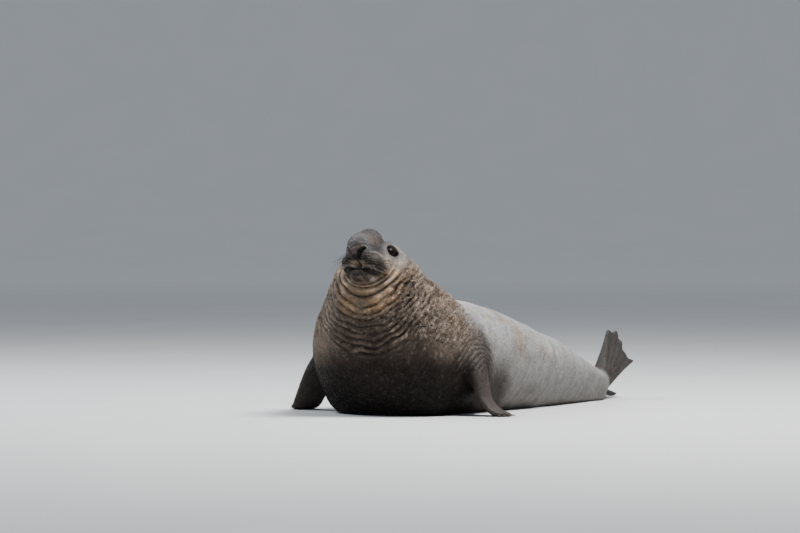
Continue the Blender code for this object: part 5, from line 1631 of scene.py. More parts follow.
def planting_tree():
    """Sets a copy of a small form on every point of a mesh, turned and sized by the point's own values."""
    tree = bpy.data.node_groups.new("Planting", "GeometryNodeTree")
    for name, kind in PLANTING_INPUTS:
        tree.interface.new_socket(name, in_out="INPUT", socket_type="NodeSocket" + kind)
    tree.interface.new_socket("Geometry", in_out="OUTPUT", socket_type="NodeSocketGeometry")
    start = tree.nodes.new("NodeGroupInput").outputs

    def read(name, kind="FLOAT_VECTOR"):
        node = add_node(tree, "GeometryNodeInputNamedAttribute", {"Name": name}, data_type=kind)
        return node.outputs["Attribute"]

    def vectors(operation, values):
        return add_node(tree, "ShaderNodeVectorMath", values, operation=operation).outputs["Vector"]

    form = add_node(tree, "GeometryNodeObjectInfo", {"Object": start["Form"]})
    size = vectors("SCALE", {0: read("size"), "Scale": start["Length"]})
    values = {"Points": start["Geometry"], "Instance": form.outputs["Geometry"]}
    values.update({"Rotation": read("turn", "QUATERNION"), "Scale": size})
    plant = add_node(tree, "GeometryNodeInstanceOnPoints", values)
    real = add_node(tree, "GeometryNodeRealizeInstances", {"Geometry": plant.outputs["Instances"]})
    # The patch of the unwrap round each root
    spot = vectors("SCALE", {0: read("in_form"), "Scale": start["Patch"]})
    values = {"Geometry": real.outputs["Geometry"], "Name": "OFBake"}
    values["Value"] = vectors("ADD", {0: read("root"), 1: spot})
    keep = add_node(tree, "GeometryNodeStoreNamedAttribute", values, data_type="FLOAT2", domain="CORNER")
    values = {"Geometry": keep.outputs["Geometry"], "Material": start["Material"]}
    dress = add_node(tree, "GeometryNodeSetMaterial", values)
    add_node(tree, "NodeGroupOutput", {"Geometry": dress.outputs["Geometry"]})
    return tree


# How much of the unwrap one copy takes up
PATCH_SIZE = 0.003


def planted(name, tree, form, material, roots, turns, sizes, places, tones, length=1.0, marks=None):
    """A plain mesh of copies of a form, one at each root."""
    beds = bpy.data.meshes.new(name + " roots")
    beds.from_pydata(roots.tolist(), [], [])
    store(beds, "turn", "QUATERNION", turns)
    store(beds, "size", "FLOAT_VECTOR", sizes)
    store(beds, "root", "FLOAT_VECTOR", np.concatenate([places, np.zeros((len(places), 1))], axis=1))
    store(beds, "tone", "FLOAT_COLOR", np.concatenate([tones, np.ones((len(tones), 1))], axis=1))
    for mark, values in (marks or {}).items():
        store(beds, mark, "FLOAT_VECTOR" if values.ndim > 1 else "FLOAT", values)
    made = linked(name, beds)
    modifier = made.modifiers.new("Planting", "NODES")
    modifier.node_group = tree
    inputs = {"Form": form, "Length": length, "Patch": PATCH_SIZE, "Material": material}
    for item in tree.interface.items_tree:
        if item.in_out == "INPUT" and item.name in inputs:
            modifier[item.identifier] = inputs[item.name]
    graph = bpy.context.evaluated_depsgraph_get()
    mesh = bpy.data.meshes.new_from_object(made.evaluated_get(graph))
    made.modifiers.clear()
    made.data = mesh
    bpy.data.meshes.remove(beds)
    mesh.name = name
    for spare in ("size", "root", "in_form", "turn"):
        if spare in mesh.attributes:
            mesh.attributes.remove(mesh.attributes[spare])
    return made


# Forms that repeat


def new_object(name, points, faces):
    mesh = bpy.data.meshes.new(name)
    mesh.from_pydata([tuple(point) for point in points], [], [tuple(face) for face in faces])
    return linked(name, mesh)


def hidden_form(name, points, faces):
    """A small form that is only copied."""
    form = new_object(name, points, faces)
    places = np.array(points, float)
    store(form.data, "in_form", "FLOAT_VECTOR", places * (1.0, 1.0, 0.0) - (0.5, 0.0, 0.0))
    form.hide_render = True
    return form


def tuft_form():
    """A flat closed tuft of short hair, one unit long, that lies along +X."""
    points = [(0.0, -0.13, -0.05), (0.0, 0.13, -0.05), (0.10, 0.0, 0.055), (1.0, 0.0, 0.10)]
    faces = [(0, 1, 2), (0, 3, 1), (1, 3, 2), (2, 3, 0)]
    return hidden_form("tuft form", points, faces)


def horn_form(name, sides, rings, bend, taper, thick):
    """A closed curved spike, one unit long, from the origin along +X and bending down."""
    points = []
    for ring in range(rings):
        share = ring / rings
        radius = thick * (1.0 - share**taper) ** 0.6
        centre = Vector((share, 0.0, -bend * share**2))
        for k in range(sides):
            angle = 2.0 * math.pi * k / sides
            points.append(centre + Vector((0.0, radius * math.cos(angle), radius * math.sin(angle))))
    points.append(Vector((1.0, 0.0, -bend)))
    faces = [tuple(reversed(range(sides)))]
    for ring in range(rings - 1):
        for k in range(sides):
            a, b = ring * sides + k, ring * sides + (k + 1) % sides
            faces.append((a, b, b + sides, a + sides))
    last = (rings - 1) * sides
    faces += [(last + k, last + (k + 1) % sides, len(points) - 1) for k in range(sides)]
    return hidden_form(name, points, faces)


# Pieces


def skin_object(skin, shift, material):
    """The skin with what its finish reads at each point. Gives back its colours, for the coat."""
    made = new_object("skin", (skin.points + shift).tolist(), skin.faces.tolist())
    mesh = made.data
    tones = coat_colours(skin.smooth, skin.sunk)
    store(mesh, "tone", "FLOAT_COLOR", np.concatenate([tones, np.ones((len(tones), 1))], axis=1))
    store(mesh, "broken", "FLOAT", roughness_marks(skin.smooth))
    store(mesh, "laid", "FLOAT_VECTOR", laid_with_folds(skin.smooth))
    mesh.materials.append(material)
    mesh.shade_smooth()
    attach(made, "root")
    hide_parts(*FLESH)
    return tones


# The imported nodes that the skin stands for
HEAD_FLESH = ("proboscis", "head", "lower_jaw", "neck")
TRUNK_FLESH = ("chest", "torso", "loin", "hips", "tail_root", "tail")
LIMB_FLESH = ("fore_flipper_left", "fore_flipper_right", "hind_flipper_left", "hind_flipper_right")
FLESH = HEAD_FLESH + TRUNK_FLESH + LIMB_FLESH

# Coat pieces: name, where along the body they start and end, and tufts to the square metre
COAT_PIECES = (
    ("coat_head", -1.0, -0.18, 18000),
    ("coat_breast", -0.18, 0.30, 16000),
    ("coat_trunk", 0.30, 1.20, 15000),
    ("coat_rear", 1.20, 4.0, 12000),
)
COAT_SEED = 21
# Tufts: their length in metres, and what it loses on the neck, the face and the limbs
TUFT_LENGTH = 0.017
NECK_TUFT_LOSS = 0.45
FACE_TUFT = 0.28
LIMB_TUFT_LOSS = 0.45
SHORT_FACE_STARTS = (-0.28, 0.02)
SHORT_NECK_BACK_EDGE = (0.35, 0.10)
# How much tufts vary in length and tone, how much they stray, and how steeply they stand off the skin
TUFT_VARIES = (0.7, 1.25)
TUFT_TONE_VARIES = (0.86, 1.16)
TUFT_STRAY = 0.16
TUFT_LIFT = (0.03, 0.14)
TUFT_BROADENS = 1.3
TUFT_THICK = 0.8
# The most that a tuft reaches down, in its lengths: along its lie, and for its own thickness
TUFT_DROP = 1.1
TUFT_BELLY = 0.15
# No hair grows below this height, in hollows deeper than this, or this near an eye's opening.
BARE_BELOW = 0.012
BARE_SUNK = 0.012
BARE_LID = 0.004
EYE_NEAR = 0.10


def tuft_sizes(points, rng):
    """How long each tuft is, in tuft lengths: short on the face and the flippers."""
    local = to_head(points)
    at_face = ramp(local[:, 0], *SHORT_FACE_STARTS) * ramp(local[:, 2], *ABOVE_THROAT)
    fore, hind = limb_shares(points)
    on_neck = ramp(points[:, 1], *SHORT_NECK_BACK_EDGE) * ramp(points[:, 2], *NECK_ABOVE)
    length = 1.0 - NECK_TUFT_LOSS * on_neck
    length = length + (FACE_TUFT - length) * at_face
    length *= 1.0 - LIMB_TUFT_LOSS * np.maximum(fore, hind)
    return length * rng.uniform(*TUFT_VARIES, len(points))


def bare_skin(middle, sunk):
    """Where no hair grows: the underside, deep openings and the eyes."""
    bare = (middle[:, 2] < BARE_BELOW) | (sunk > BARE_SUNK)
    for side in (1, -1):
        near_eye = row_lengths(middle - eyeball_middle(side)) < EYE_NEAR
        bare |= near_eye & (almond(middle, side, EYE_OPENING) < BARE_LID)
    return bare


def coat(skin, tones, shift, tree, form, material):
    """Tufts of short hair all over the seal but in its eyes, nostrils and mouth."""
    rng = np.random.default_rng(COAT_SEED)
    corners = skin.points[skin.faces]
    edges = corners[:, 1:] - corners[:, :1]
    area = 0.5 * row_lengths(np.cross(edges[:, 0], edges[:, 1]))
    middle = skin.smooth[skin.faces].mean(axis=1)
    hairy = ~bare_skin(middle, skin.sunk[skin.faces].mean(axis=1))
    for name, start, end, density in COAT_PIECES:
        density = density * 1.0
        wanted = area * density * (middle[:, 1] >= start) * (middle[:, 1] < end) * hairy
        chosen = np.repeat(np.arange(len(area)), rng.poisson(wanted))
        share = rng.dirichlet((1.0, 1.0, 1.0), len(chosen))
        rows = skin.faces[chosen]

        def spread(values):
            return np.sum(values[rows] * share[:, :, None], axis=1)

        roots = spread(skin.points)
        normals = spread(skin.normals)
        normals /= row_lengths(normals)[:, None]
        smooth = spread(skin.smooth)
        colour = spread(tones) * rng.uniform(*TUFT_TONE_VARIES, len(roots))[:, None]
        way = lie_of_coat(smooth, normals) + rng.normal(0.0, TUFT_STRAY, (len(roots), 3))
        lift = np.sum(way * normals, axis=1) - rng.uniform(*TUFT_LIFT, len(roots))
        way = way - normals * lift[:, None]
        turns = quaternions(way, normals)
        length = tuft_sizes(smooth, rng)
        width = np.minimum(length * TUFT_BROADENS, 1.0)
        sizes = np.stack((length, width, np.full(len(length), TUFT_THICK)), axis=-1)
        # Tufts that would reach below the floor are left out
        reach = np.minimum(way[:, 2] * TUFT_DROP - TUFT_BELLY, 0.0)
        above = roots[:, 2] + TUFT_LENGTH * length * reach > 0.0
        roots, turns, sizes = roots[above] + shift, turns[above], sizes[above]
        smooth, colour = smooth[above], colour[above]
        marks = {"broken": roughness_marks(smooth), "laid": laid_with_folds(smooth)}
        places = unwrap(smooth)
        made = planted(name, tree, form, material, roots, turns, sizes, places, colour, TUFT_LENGTH, marks)
        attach(made, "root")


# Whiskers: how much they point outwards, back, aside and down, how much they stray, and their lengths
WHISKER_SEED = 8
WHISKER_OUT = 0.9
WHISKER_BACK = 0.55
WHISKER_ASIDE = 0.35
WHISKER_DOWN = (0.0, 0.0, -0.25)
WHISKER_STRAY = 0.08
SHORT_WHISKER = 0.075
WHISKER_GROWS = 0.085
WHISKER_GROWS_ASIDE = (0.05, 0.15)
WHISKER_VARIES = (0.7, 1.15)
WHISKER_SUNK = 0.004
WHISKER_COLOUR = (0.20, 0.16, 0.11)
WHISKER_TONE_VARIES = (0.6, 1.4)
# The bristles over each eye: the first one's place in the head's axes, and the step to the next
BROW_BRISTLES = 5
BROW_START = (0.045, 0.072, 0.070)
BROW_STEP = (-0.012, 0.006, 0.0)
BROW_ASIDE = 0.3
BROW_BACK = 0.2
BROW_LENGTH = 0.055
BROW_VARIES = (0.8, 1.1)
UPRIGHT = (0.0, 0.0, 1.0)
# Small forms take one spot of the unwrap, because their finishes need none.
ANY_SPOT = (0.5, 0.5)


def on_skin(skin, place):
    """The skin's point nearest to a place in the head's axes, and its normal."""
    near = int(np.argmin(np.sum((skin.points - from_head(place)) ** 2, axis=1)))
    return skin.points[near], skin.normals[near]


def whiskers(skin, shift, tree, form, material):
    """Bristles in rows on both whisker pads, and a few above each eye."""
    rng = np.random.default_rng(WHISKER_SEED)
    roots, ways, lengths = [], [], []
    for side in (1, -1):
        aside = HEAD_LEFT * side
        for place in whisker_roots(side):
            root, out = on_skin(skin, place)
            back = -HEAD_FORWARD * WHISKER_BACK + aside * WHISKER_ASIDE + np.array(WHISKER_DOWN)
            roots.append(root)
            ways.append(out * WHISKER_OUT + back + rng.normal(0.0, WHISKER_STRAY, 3))
            grown = SHORT_WHISKER + WHISKER_GROWS * ramp(abs(place[1]), *WHISKER_GROWS_ASIDE)
            lengths.append(grown * rng.uniform(*WHISKER_VARIES))
        for k in range(BROW_BRISTLES):
            forward, left, up = np.array(BROW_START) + np.array(BROW_STEP) * k
            root, out = on_skin(skin, (forward, left * side, up))
            roots.append(root)
            ways.append(out + aside * BROW_ASIDE - HEAD_FORWARD * BROW_BACK)
            lengths.append(BROW_LENGTH * rng.uniform(*BROW_VARIES))
    roots, ways, lengths = np.array(roots), np.array(ways), np.array(lengths)
    ways /= row_lengths(ways)[:, None]
    turns = quaternions(ways, plain(UPRIGHT, ways))
    sizes = np.tile(lengths[:, None], (1, 3))
    tones = plain(WHISKER_COLOUR, roots) * rng.uniform(*WHISKER_TONE_VARIES, len(roots))[:, None]
    roots = roots - ways * WHISKER_SUNK + shift
    made = planted("whiskers", tree, form, material, roots, turns, sizes, plain(ANY_SPOT, roots), tones)
    made.data.shade_smooth()
    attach(made, "root")


# A claw's half width and half thickness at the root, in claw radii, and its colour
CLAW_SHAPE = (0.95, 0.8)
CLAW_COLOUR = (0.045, 0.038, 0.032)


def claws(shift, tree, form, material):
    """Five claws on each fore flipper."""
    roots, ways, sizes = [], [], []
    for limb in (LEFT_FORE, RIGHT_FORE):
        for degrees in CLAW_ANGLES:
            root, tip = claw_path(limb, degrees)
            length = np.linalg.norm(tip - root)
            roots.append(root)
            ways.append((tip - root) / length)
            sizes.append((length, CLAW_SHAPE[0] * CLAW_RADIUS, CLAW_SHAPE[1] * CLAW_RADIUS))
    roots, ways, sizes = np.array(roots) + shift, np.array(ways), np.array(sizes)
    turns = quaternions(ways, plain(UPRIGHT, ways))
    tones = plain(CLAW_COLOUR, roots)
    made = planted("claws", tree, form, material, roots, turns, sizes, plain(ANY_SPOT, roots), tones)
    made.data.shade_smooth()
    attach(made, "root")


BALL_SEGMENTS = 64
BALL_RINGS = 40
BALL_GAP = 0.0006
PUPIL_SWELL = 0.020
PUPIL_SWELL_STARTS = (0.72, 0.97)


def eyeball(name, node, side, shift, material):
    """A finely made ball with a slight swell over the pupil."""
    centre, axes = eye_axes(side)
    gaze = axes[2]
    turn = Vector(gaze).to_track_quat("Z", "Y")
    shell = bmesh.new()
    bmesh.ops.create_uvsphere(shell, u_segments=BALL_SEGMENTS, v_segments=BALL_RINGS, radius=1.0)
    for vertex in shell.verts:
        swell = 1.0 + PUPIL_SWELL * ramp(np.array([vertex.co.z]), *PUPIL_SWELL_STARTS)[0]
        vertex.co = Vector(centre + shift) + (turn @ vertex.co) * (EYEBALL - BALL_GAP) * swell
    bmesh.ops.recalc_face_normals(shell, faces=shell.faces)
    mesh = bpy.data.meshes.new(name)
    shell.to_mesh(mesh)
    shell.free()
    middle = np.array([vertex.co[:] for vertex in mesh.vertices]) - centre - shift
    facing = (middle @ gaze) / row_lengths(middle)
    store(mesh, "facing", "FLOAT", facing)
    made = linked(name, mesh)
    mesh.materials.append(material)
    mesh.shade_smooth()
    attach(made, "root")
    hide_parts(node)


# Finishes


class Finish:
    """A material and short ways to build its nodes."""

    def __init__(self, name):
        self.material = bpy.data.materials.new(name)
        self.material.use_nodes = True
        self.tree = self.material.node_tree
        self.shader = self.tree.nodes["Principled BSDF"]
        self.place = self.node("ShaderNodeTexCoord").outputs["Object"]

    def node(self, kind, values=(), **settings):
        return add_node(self.tree, kind, values, **settings)

    def set(self, **values):
        """Sets the shader's inputs to values or to other nodes' outputs."""
        for name, value in values.items():
            put(self.tree, self.shader.inputs[name.replace("_", " ")], value)

    def attribute(self, name, output="Color"):
        return self.node("ShaderNodeAttribute", attribute_name=name).outputs[output]

    def stretched(self, scale, turn=(0.0, 0.0, 0.0)):
        """Places measured in steps of the given sizes, along axes turned by the given angles."""
        values = {"Vector": self.place, "Scale": scale, "Rotation": turn}
        return self.node("ShaderNodeMapping", values, vector_type="TEXTURE").outputs["Vector"]

    def warped(self, scale, amount, detail=2.0):
        """Object places pushed about by a soft noise."""
        noise = self.node("ShaderNodeTexNoise", {"Vector": self.place, "Scale": scale, "Detail": detail})
        values = {0: noise.outputs["Color"], 1: (amount, amount, amount), 2: self.place}
        return self.node("ShaderNodeVectorMath", values, operation="MULTIPLY_ADD").outputs["Vector"]

    def noise(self, scale, detail, rough, place=None, twist=0.0):
        values = {"Scale": scale, "Detail": detail, "Roughness": rough, "Distortion": twist}
        values["Vector"] = place or self.place
        return self.node("ShaderNodeTexNoise", values).outputs["Fac"]

    def marks(self, kind, place=None, to_low=0.0, to_high=1.0):
        """A noise turned into marks: to_low where it is low, and to_high where it is high."""
        noise = self.noise(kind.scale, kind.detail, kind.rough, place, kind.twist)
        return self.ramp(noise, kind.low, kind.high, to_low, to_high)

    def cell_edges(self, scale, place):
        """How far each place is from the nearest border between random cells."""
        values = {"Vector": place, "Scale": scale}
        return self.node("ShaderNodeTexVoronoi", values, feature="DISTANCE_TO_EDGE").outputs["Distance"]

    def math(self, operation, a, b):
        return self.node("ShaderNodeMath", {0: a, 1: b}, operation=operation).outputs["Value"]

    def product(self, a, b):
        return self.math("MULTIPLY", a, b)

    def ramp(self, value, low, high, to_low=0.0, to_high=1.0):
        values = {"Value": value, "From Min": low, "From Max": high, "To Min": to_low, "To Max": to_high}
        return self.node("ShaderNodeMapRange", values).outputs["Result"]

    def mix(self, a, b, share, mode="MIX"):
        values = {0: share, 6: a, 7: b}
        return self.node("ShaderNodeMix", values, data_type="RGBA", blend_type=mode).outputs[2]

    def bump(self, height, distance, strength=1.0, under=None):
        values = {"Height": height, "Distance": distance, "Strength": strength, "Normal": under}
        return self.node("ShaderNodeBump", values).outputs["Normal"]


def shaded(finish, colour, shade, share):
    """The colour darkened by a factor where the share is 1."""
    return finish.mix(colour, finish.mix(colour, shade, 1.0, "MULTIPLY"), share)


# How steeply the streaks of the flank slant towards the tail
STREAK_SLANT = math.radians(-28.0)


# Noise turned into marks: its scale, detail, roughness and twist, and the values between which marks start
Marks = namedtuple("Marks", "scale detail rough twist low high")

BLOTCHES = Marks(11.0, 5.0, 0.62, 0.0, 0.36, 0.66)
BLOTCH_SHADE = (0.60, 0.58, 0.56)
BLOTCH_SHARE = 0.50
WIDE_STREAKS = Marks(1.0, 4.0, 0.6, 0.5, 0.42, 0.70)
THIN_STREAKS = Marks(1.0, 3.0, 0.6, 0.3, 0.50, 0.68)
# Each kind of streak: its marks, its size in metres, its shade and how much of it shows
STREAKS = (
    (WIDE_STREAKS, (0.30, 0.045, 0.30), (0.50, 0.48, 0.46), 0.48),
    (THIN_STREAKS, (0.12, 0.015, 0.12), (0.55, 0.53, 0.51), 0.52),
)
# The fine grain of hair tips, and the factors that it darkens and lightens by
GRAIN = Marks(150.0, 3.0, 0.62, 0.0, 0.30, 0.72)
GRAIN_TONES = (0.72, 1.26)
GRIME = Marks(11.0, 5.0, 0.66, 0.6, 0.45, 0.60)
GRIME_SHADE = (0.42, 0.37, 0.34)
PALE_PATCHES = Marks(17.0, 5.0, 0.68, 1.2, 0.56, 0.66)
PALE_PATCH = (0.40, 0.32, 0.24)
PALE_SHARE = 0.75
SCAR_SCALE = 9.0
SCAR_WARP = (6.0, 0.10)
SCAR_WIDTH = (0.006, 0.026)
SCAR_LENGTHS = Marks(9.0, 2.0, 0.5, 0.0, 0.56, 0.62)
SCARRED = (0.35, 1.0, 0.0, 0.80)
SCAR_PALE = (0.46, 0.38, 0.30)


def coat_marks(finish, colour):
    """The marks that skin and coat share: blotches, flecks, scars and streaks over the given colour."""
    broken = finish.attribute("broken", "Fac")
    calm = finish.math("SUBTRACT", 1.0, broken)
    colour = shaded(finish, colour, BLOTCH_SHADE, finish.product(finish.marks(BLOTCHES), BLOTCH_SHARE))
    for streak, size, shade, share in STREAKS:
        found = finish.marks(streak, finish.stretched(size, (STREAK_SLANT, 0.0, 0.0)))
        colour = shaded(finish, colour, shade, finish.product(found, finish.product(calm, share)))
    grain = finish.marks(GRAIN, None, *GRAIN_TONES)
    grey = finish.node("ShaderNodeCombineColor", {0: grain, 1: grain, 2: grain}).outputs[0]
    colour = finish.mix(colour, grey, 1.0, "MULTIPLY")
    # Dark grime between paler patches where the skin is broken, all drawn out along the folds
    laid = finish.attribute("laid", "Vector")
    colour = shaded(finish, colour, GRIME_SHADE, finish.product(finish.marks(GRIME, laid), broken))
    pale = finish.product(finish.marks(PALE_PATCHES, laid), finish.product(broken, PALE_SHARE))
    colour = finish.mix(colour, PALE_PATCH, pale)
    # Thin pale scars, broken into short lengths
    edges = finish.cell_edges(SCAR_SCALE, finish.warped(*SCAR_WARP))
    scar = finish.product(finish.ramp(edges, *SCAR_WIDTH, 1.0, 0.0), finish.marks(SCAR_LENGTHS))
    scar = finish.product(scar, finish.ramp(broken, *SCARRED))
    return finish.mix(colour, SCAR_PALE, scar), broken


# The skin's gloss: patches of damp between two roughnesses, and glossier where the coat is broken
SKIN_SPECULAR = 0.16
DAMP = Marks(34.0, 3.0, 0.6, 0.0, 0.3, 0.7)
DAMP_ROUGHNESS = (0.42, 0.66)
BROKEN_GLOSS = 0.14
# The skin's bump: single hairs, lumps and cracks, with heights in metres
HAIR_NOISE = (1.0, 3.0, 0.6)
HAIR_SIZE = (0.0024, 0.0024, 0.014)
HAIR_HEIGHT = 0.0016
LUMP_NOISE = (42.0, 5.0, 0.62)
LUMP_TWIST = 0.8
LUMP_HEIGHT = 0.022
LUMPS_EVERYWHERE = 0.16
CRACK_SCALE = 30.0
CRACK_WARP = (16.0, 0.03)
CRACK_WIDTH = 0.16
CRACK_HEIGHT = 0.006
CRACKS_EVERYWHERE = 0.08
FINE_BUMP = 0.8


def skin_finish():
    finish = Finish("Short damp coat over skin")
    colour, broken = coat_marks(finish, finish.attribute("tone"))
    rough = finish.marks(DAMP, None, *DAMP_ROUGHNESS)
    rough = finish.math("SUBTRACT", rough, finish.product(broken, BROKEN_GLOSS))
    hair = finish.noise(*HAIR_NOISE, finish.stretched(HAIR_SIZE))
    lumps = finish.noise(*LUMP_NOISE, twist=LUMP_TWIST)
    lumps = finish.product(lumps, finish.math("ADD", broken, LUMPS_EVERYWHERE))
    edges = finish.cell_edges(CRACK_SCALE, finish.warped(*CRACK_WARP))
    cracks = finish.ramp(edges, 0.0, CRACK_WIDTH)
    cracks = finish.product(cracks, finish.math("ADD", broken, CRACKS_EVERYWHERE))
    normal = finish.bump(lumps, LUMP_HEIGHT)
    normal = finish.bump(cracks, CRACK_HEIGHT, FINE_BUMP, normal)
    normal = finish.bump(hair, HAIR_HEIGHT, FINE_BUMP, normal)
    finish.set(Base_Color=colour, Roughness=rough, Specular_IOR_Level=SKIN_SPECULAR, Normal=normal)
    return finish.material


HAIR_ROUGHNESS = 0.62
HAIR_SPECULAR = 0.09


def coat_finish():
    finish = Finish("Short damp hair")
    colour, _ = coat_marks(finish, finish.attribute("tone"))
    finish.set(Base_Color=colour, Roughness=HAIR_ROUGHNESS, Specular_IOR_Level=HAIR_SPECULAR)
    return finish.material


# The eye's colours from its white inwards, and where the iris and the pupil start: the cosine of the angle
# between the gaze and a point's direction
EYE_WHITE = (0.012, 0.009, 0.009)
IRIS_DARK = (0.005, 0.003, 0.003)
IRIS_BROWN = (0.013, 0.008, 0.006)
PUPIL_BLACK = (0.002, 0.002, 0.002)
IRIS_EDGE = (0.80, 0.82)
PUPIL_EDGE = (0.955, 0.962)
IRIS_RAYS = Marks(160.0, 3.0, 0.6, 0.0, 0.3, 0.7)
EYE_ROUGHNESS = 0.30
EYE_SPECULAR = 0.07


def eye_finish():
    finish = Finish("Wet dark eye")
    facing = finish.attribute("facing", "Fac")
    brown = finish.mix(IRIS_DARK, IRIS_BROWN, finish.marks(IRIS_RAYS))
    colour = finish.mix(EYE_WHITE, brown, finish.ramp(facing, *IRIS_EDGE))
    colour = finish.mix(colour, PUPIL_BLACK, finish.ramp(facing, *PUPIL_EDGE))
    finish.set(Base_Color=colour, Roughness=EYE_ROUGHNESS, Specular_IOR_Level=EYE_SPECULAR)
    return finish.material


HORN_GRAIN = (1.0, 4.0, 0.6)
HORN_GRAIN_SIZE = (0.0033, 0.0033, 0.016)
HORN_DARK = (0.030, 0.024, 0.020)
HORN_LIGHT = (0.115, 0.092, 0.072)
HORN_TONES = (0.3, 0.75)
HORN_GLOSS = (0.3, 0.7, 0.28, 0.48)
HORN_BUMP = (0.0006, 0.7)


def horn_finish():
    finish = Finish("Dark horn")
    grain = finish.noise(*HORN_GRAIN, finish.stretched(HORN_GRAIN_SIZE))
    colour = finish.mix(HORN_DARK, HORN_LIGHT, finish.ramp(grain, *HORN_TONES))
    rough = finish.ramp(grain, *HORN_GLOSS)
    finish.set(Base_Color=colour, Roughness=rough, Normal=finish.bump(grain, *HORN_BUMP))
    return finish.material


WHISKER_BROWN = (0.085, 0.062, 0.042)
WHISKER_DARK = (0.016, 0.011, 0.008)
WHISKER_BANDS = Marks(90.0, 2.0, 0.5, 0.0, 0.35, 0.65)
WHISKER_ROUGHNESS = 0.35
WHISKER_SPECULAR = 0.5


def whisker_finish():
    finish = Finish("Whisker bristle")
    colour = finish.mix(WHISKER_BROWN, WHISKER_DARK, finish.marks(WHISKER_BANDS))
    finish.set(Base_Color=colour, Roughness=WHISKER_ROUGHNESS, Specular_IOR_Level=WHISKER_SPECULAR)
    return finish.material


# The floor's two tones, its clouds, and its glow: its colour, its strength, and where it starts and is full
FLOOR_TONE = (0.50, 0.51, 0.52)
FLOOR_LIGHT_TONE = (0.53, 0.535, 0.54)
FLOOR_CLOUDS = Marks(0.8, 3.0, 0.5, 0.0, 0.3, 0.7)
GLOW = (0.86, 0.93, 1.0)
GLOW_STRENGTH = 0.15
GLOW_REACH = (9.0, 42.0)
FLOOR_ROUGHNESS = 0.85
FLOOR_SPECULAR = 0.2
NO_LIGHT = (0.0, 0.0, 0.0)


def floor_finish():
    """Pale and matt, and lit far from the seal, so that its edge and the wall are as bright as daylight."""
    finish = Finish("Pale matt floor")
    away = finish.node("ShaderNodeVectorMath", {0: finish.place}, operation="LENGTH").outputs["Value"]
    glow = finish.mix(NO_LIGHT, GLOW, finish.ramp(away, *GLOW_REACH))
    finish.set(Emission_Color=glow, Emission_Strength=GLOW_STRENGTH)
    tone = finish.mix(FLOOR_TONE, FLOOR_LIGHT_TONE, finish.marks(FLOOR_CLOUDS))
    finish.set(Base_Color=tone, Roughness=FLOOR_ROUGHNESS, Specular_IOR_Level=FLOOR_SPECULAR)
    return finish.material


# Room, light and camera


def room(material):
    """A wide round pale floor that rises into a wall all round the seal, beyond any camera."""
    flat, rise, height, sectors, steps = 60.0, 16.0, 26.0, 96, 16
    profile = [(8.0, 0.0), (25.0, 0.0), (flat, 0.0)]
    for k in range(1, steps + 1):
        angle = math.pi / 2 * k / steps
        profile.append((flat + rise * math.sin(angle), rise - rise * math.cos(angle)))
    profile.append((flat + rise, height))
    points = [(0.0, 0.0, 0.0)]
    for radius, up in profile:
        for k in range(sectors):
            angle = 2.0 * math.pi * k / sectors
            points.append((radius * math.cos(angle), radius * math.sin(angle), up))
    faces = [(0, 1 + k, 1 + (k + 1) % sectors) for k in range(sectors)]
    for ring in range(len(profile) - 1):
        for k in range(sectors):
            a = 1 + ring * sectors + k
            b = 1 + ring * sectors + (k + 1) % sectors
            faces.append((a, a + sectors, b + sectors, b))
    made = new_object("floor", points, faces)
    made.data.materials.append(material)
    made.data.shade_smooth()


# Each light: its name, its azimuth, elevation and distance round the lit point, its size, watts and colour
LIGHTS = (
    ("high daylight", 95.0, 66.0, 12.0, 4.0, 3900.0, (1.0, 0.98, 0.95)),
    ("front fill", 0.0, 50.0, 14.0, 8.0, 260.0, (0.93, 0.96, 1.0)),
    ("left fill", -70.0, 45.0, 12.0, 6.0, 1150.0, (0.95, 0.98, 1.0)),
)
LIT_POINT = (0.0, 0.0, 0.6)
SKY_COLOUR = (0.80, 0.88, 1.0, 1.0)
SKY_STRENGTH = 0.34


def way_towards(azimuth, elevation):
    """The direction from the seal to a lamp or camera, by its azimuth and elevation in degrees."""
    a, e = math.radians(azimuth), math.radians(elevation)
    return Vector((math.sin(a) * math.cos(e), -math.cos(a) * math.cos(e), math.sin(e)))


def lamp(name, azimuth, elevation, distance, size, watts, colour, aim):
    """A square soft light at an azimuth and elevation round the point that it faces."""
    data = bpy.data.lights.new(name, "AREA")
    data.shape = "SQUARE"
    data.size = size
    data.energy = watts
    data.color = colour
    made = linked(name, data)
    way = way_towards(azimuth, elevation)
    made.location = Vector(aim) + way * distance
    made.rotation_euler = way.to_track_quat("Z", "Y").to_euler()


# The photo's camera
PHOTO_AZIMUTH = 38.0
PHOTO_ELEVATION = 1.2
PHOTO_DISTANCE = 30.0
PHOTO_SCALE = 127.0
PHOTO_SIZE = (800, 533)
PHOTO_ORIGIN = (394.0, 413.5)
SENSOR = 36.0
CAMERA_REACH = 200.0


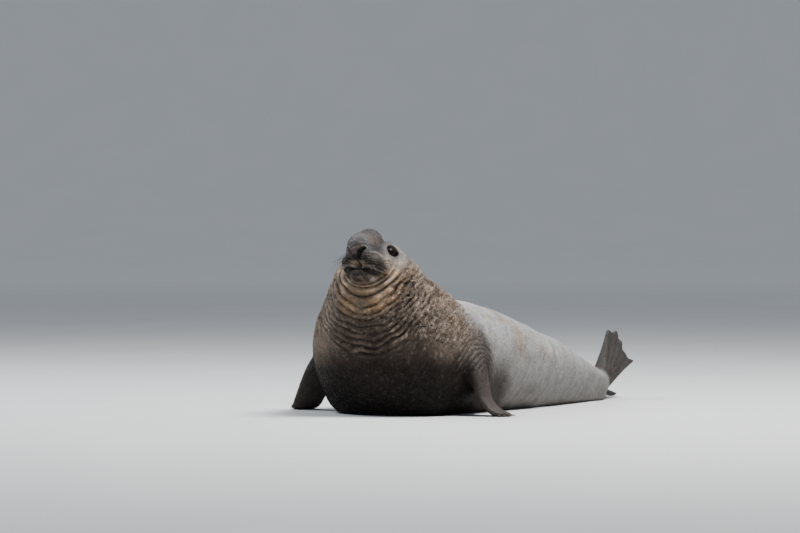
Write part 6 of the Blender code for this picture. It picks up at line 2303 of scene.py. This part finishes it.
def photo_camera(shift):
    """A camera that sees the seal as the photo does."""
    back = way_towards(PHOTO_AZIMUTH, PHOTO_ELEVATION)
    turn = math.radians(PHOTO_AZIMUTH)
    right = Vector((math.cos(turn), math.sin(turn), 0.0))
    up = back.cross(right)
    aside = (PHOTO_SIZE[0] / 2 - PHOTO_ORIGIN[0]) / PHOTO_SCALE
    above = (PHOTO_ORIGIN[1] - PHOTO_SIZE[1] / 2) / PHOTO_SCALE
    data = bpy.data.cameras.new("photo camera")
    data.sensor_width = SENSOR
    data.lens = SENSOR * PHOTO_DISTANCE * PHOTO_SCALE / PHOTO_SIZE[0]
    data.clip_end = CAMERA_REACH
    made = linked("photo camera", data)
    made.location = Vector(shift) + right * aside + up * above + back * PHOTO_DISTANCE
    made.rotation_euler = back.to_track_quat("Z", "Y").to_euler()
    bpy.context.scene.camera = made


def sky():
    """Soft blue daylight from all sides."""
    world = bpy.data.worlds.new("soft daylight")
    world.use_nodes = True
    light = world.node_tree.nodes["Background"]
    light.inputs["Color"].default_value = SKY_COLOUR
    light.inputs["Strength"].default_value = SKY_STRENGTH
    bpy.context.scene.world = world


# The repeated horn forms: sides and rings, how far they bend, how soon they taper, and how thick they are
BRISTLE = {"sides": 4, "rings": 7, "bend": 0.28, "taper": 1.0, "thick": 0.008}
CLAW = {"sides": 12, "rings": 9, "bend": 0.0, "taper": 2.0, "thick": 1.0}


def main():
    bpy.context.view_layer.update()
    shift = frame_shift()
    photo_camera(shift)
    sky()
    for light in LIGHTS:
        lamp(*light, LIT_POINT)
    room(floor_finish())
    skin = Skin()
    tones = skin_object(skin, shift, skin_finish())
    tree = planting_tree()
    tuft = tuft_form()
    bristle = horn_form("bristle form", **BRISTLE)
    horn = horn_form("claw form", **CLAW)
    coat(skin, tones, shift, tree, tuft, coat_finish())
    whiskers(skin, shift, tree, bristle, whisker_finish())
    claws(shift, tree, horn, horn_finish())
    eye = eye_finish()
    eyeball("eyeball_left", "eye_left", 1, shift, eye)
    eyeball("eyeball_right", "eye_right", -1, shift, eye)
    for form in (tuft, bristle, horn):
        bpy.data.objects.remove(form)


main()
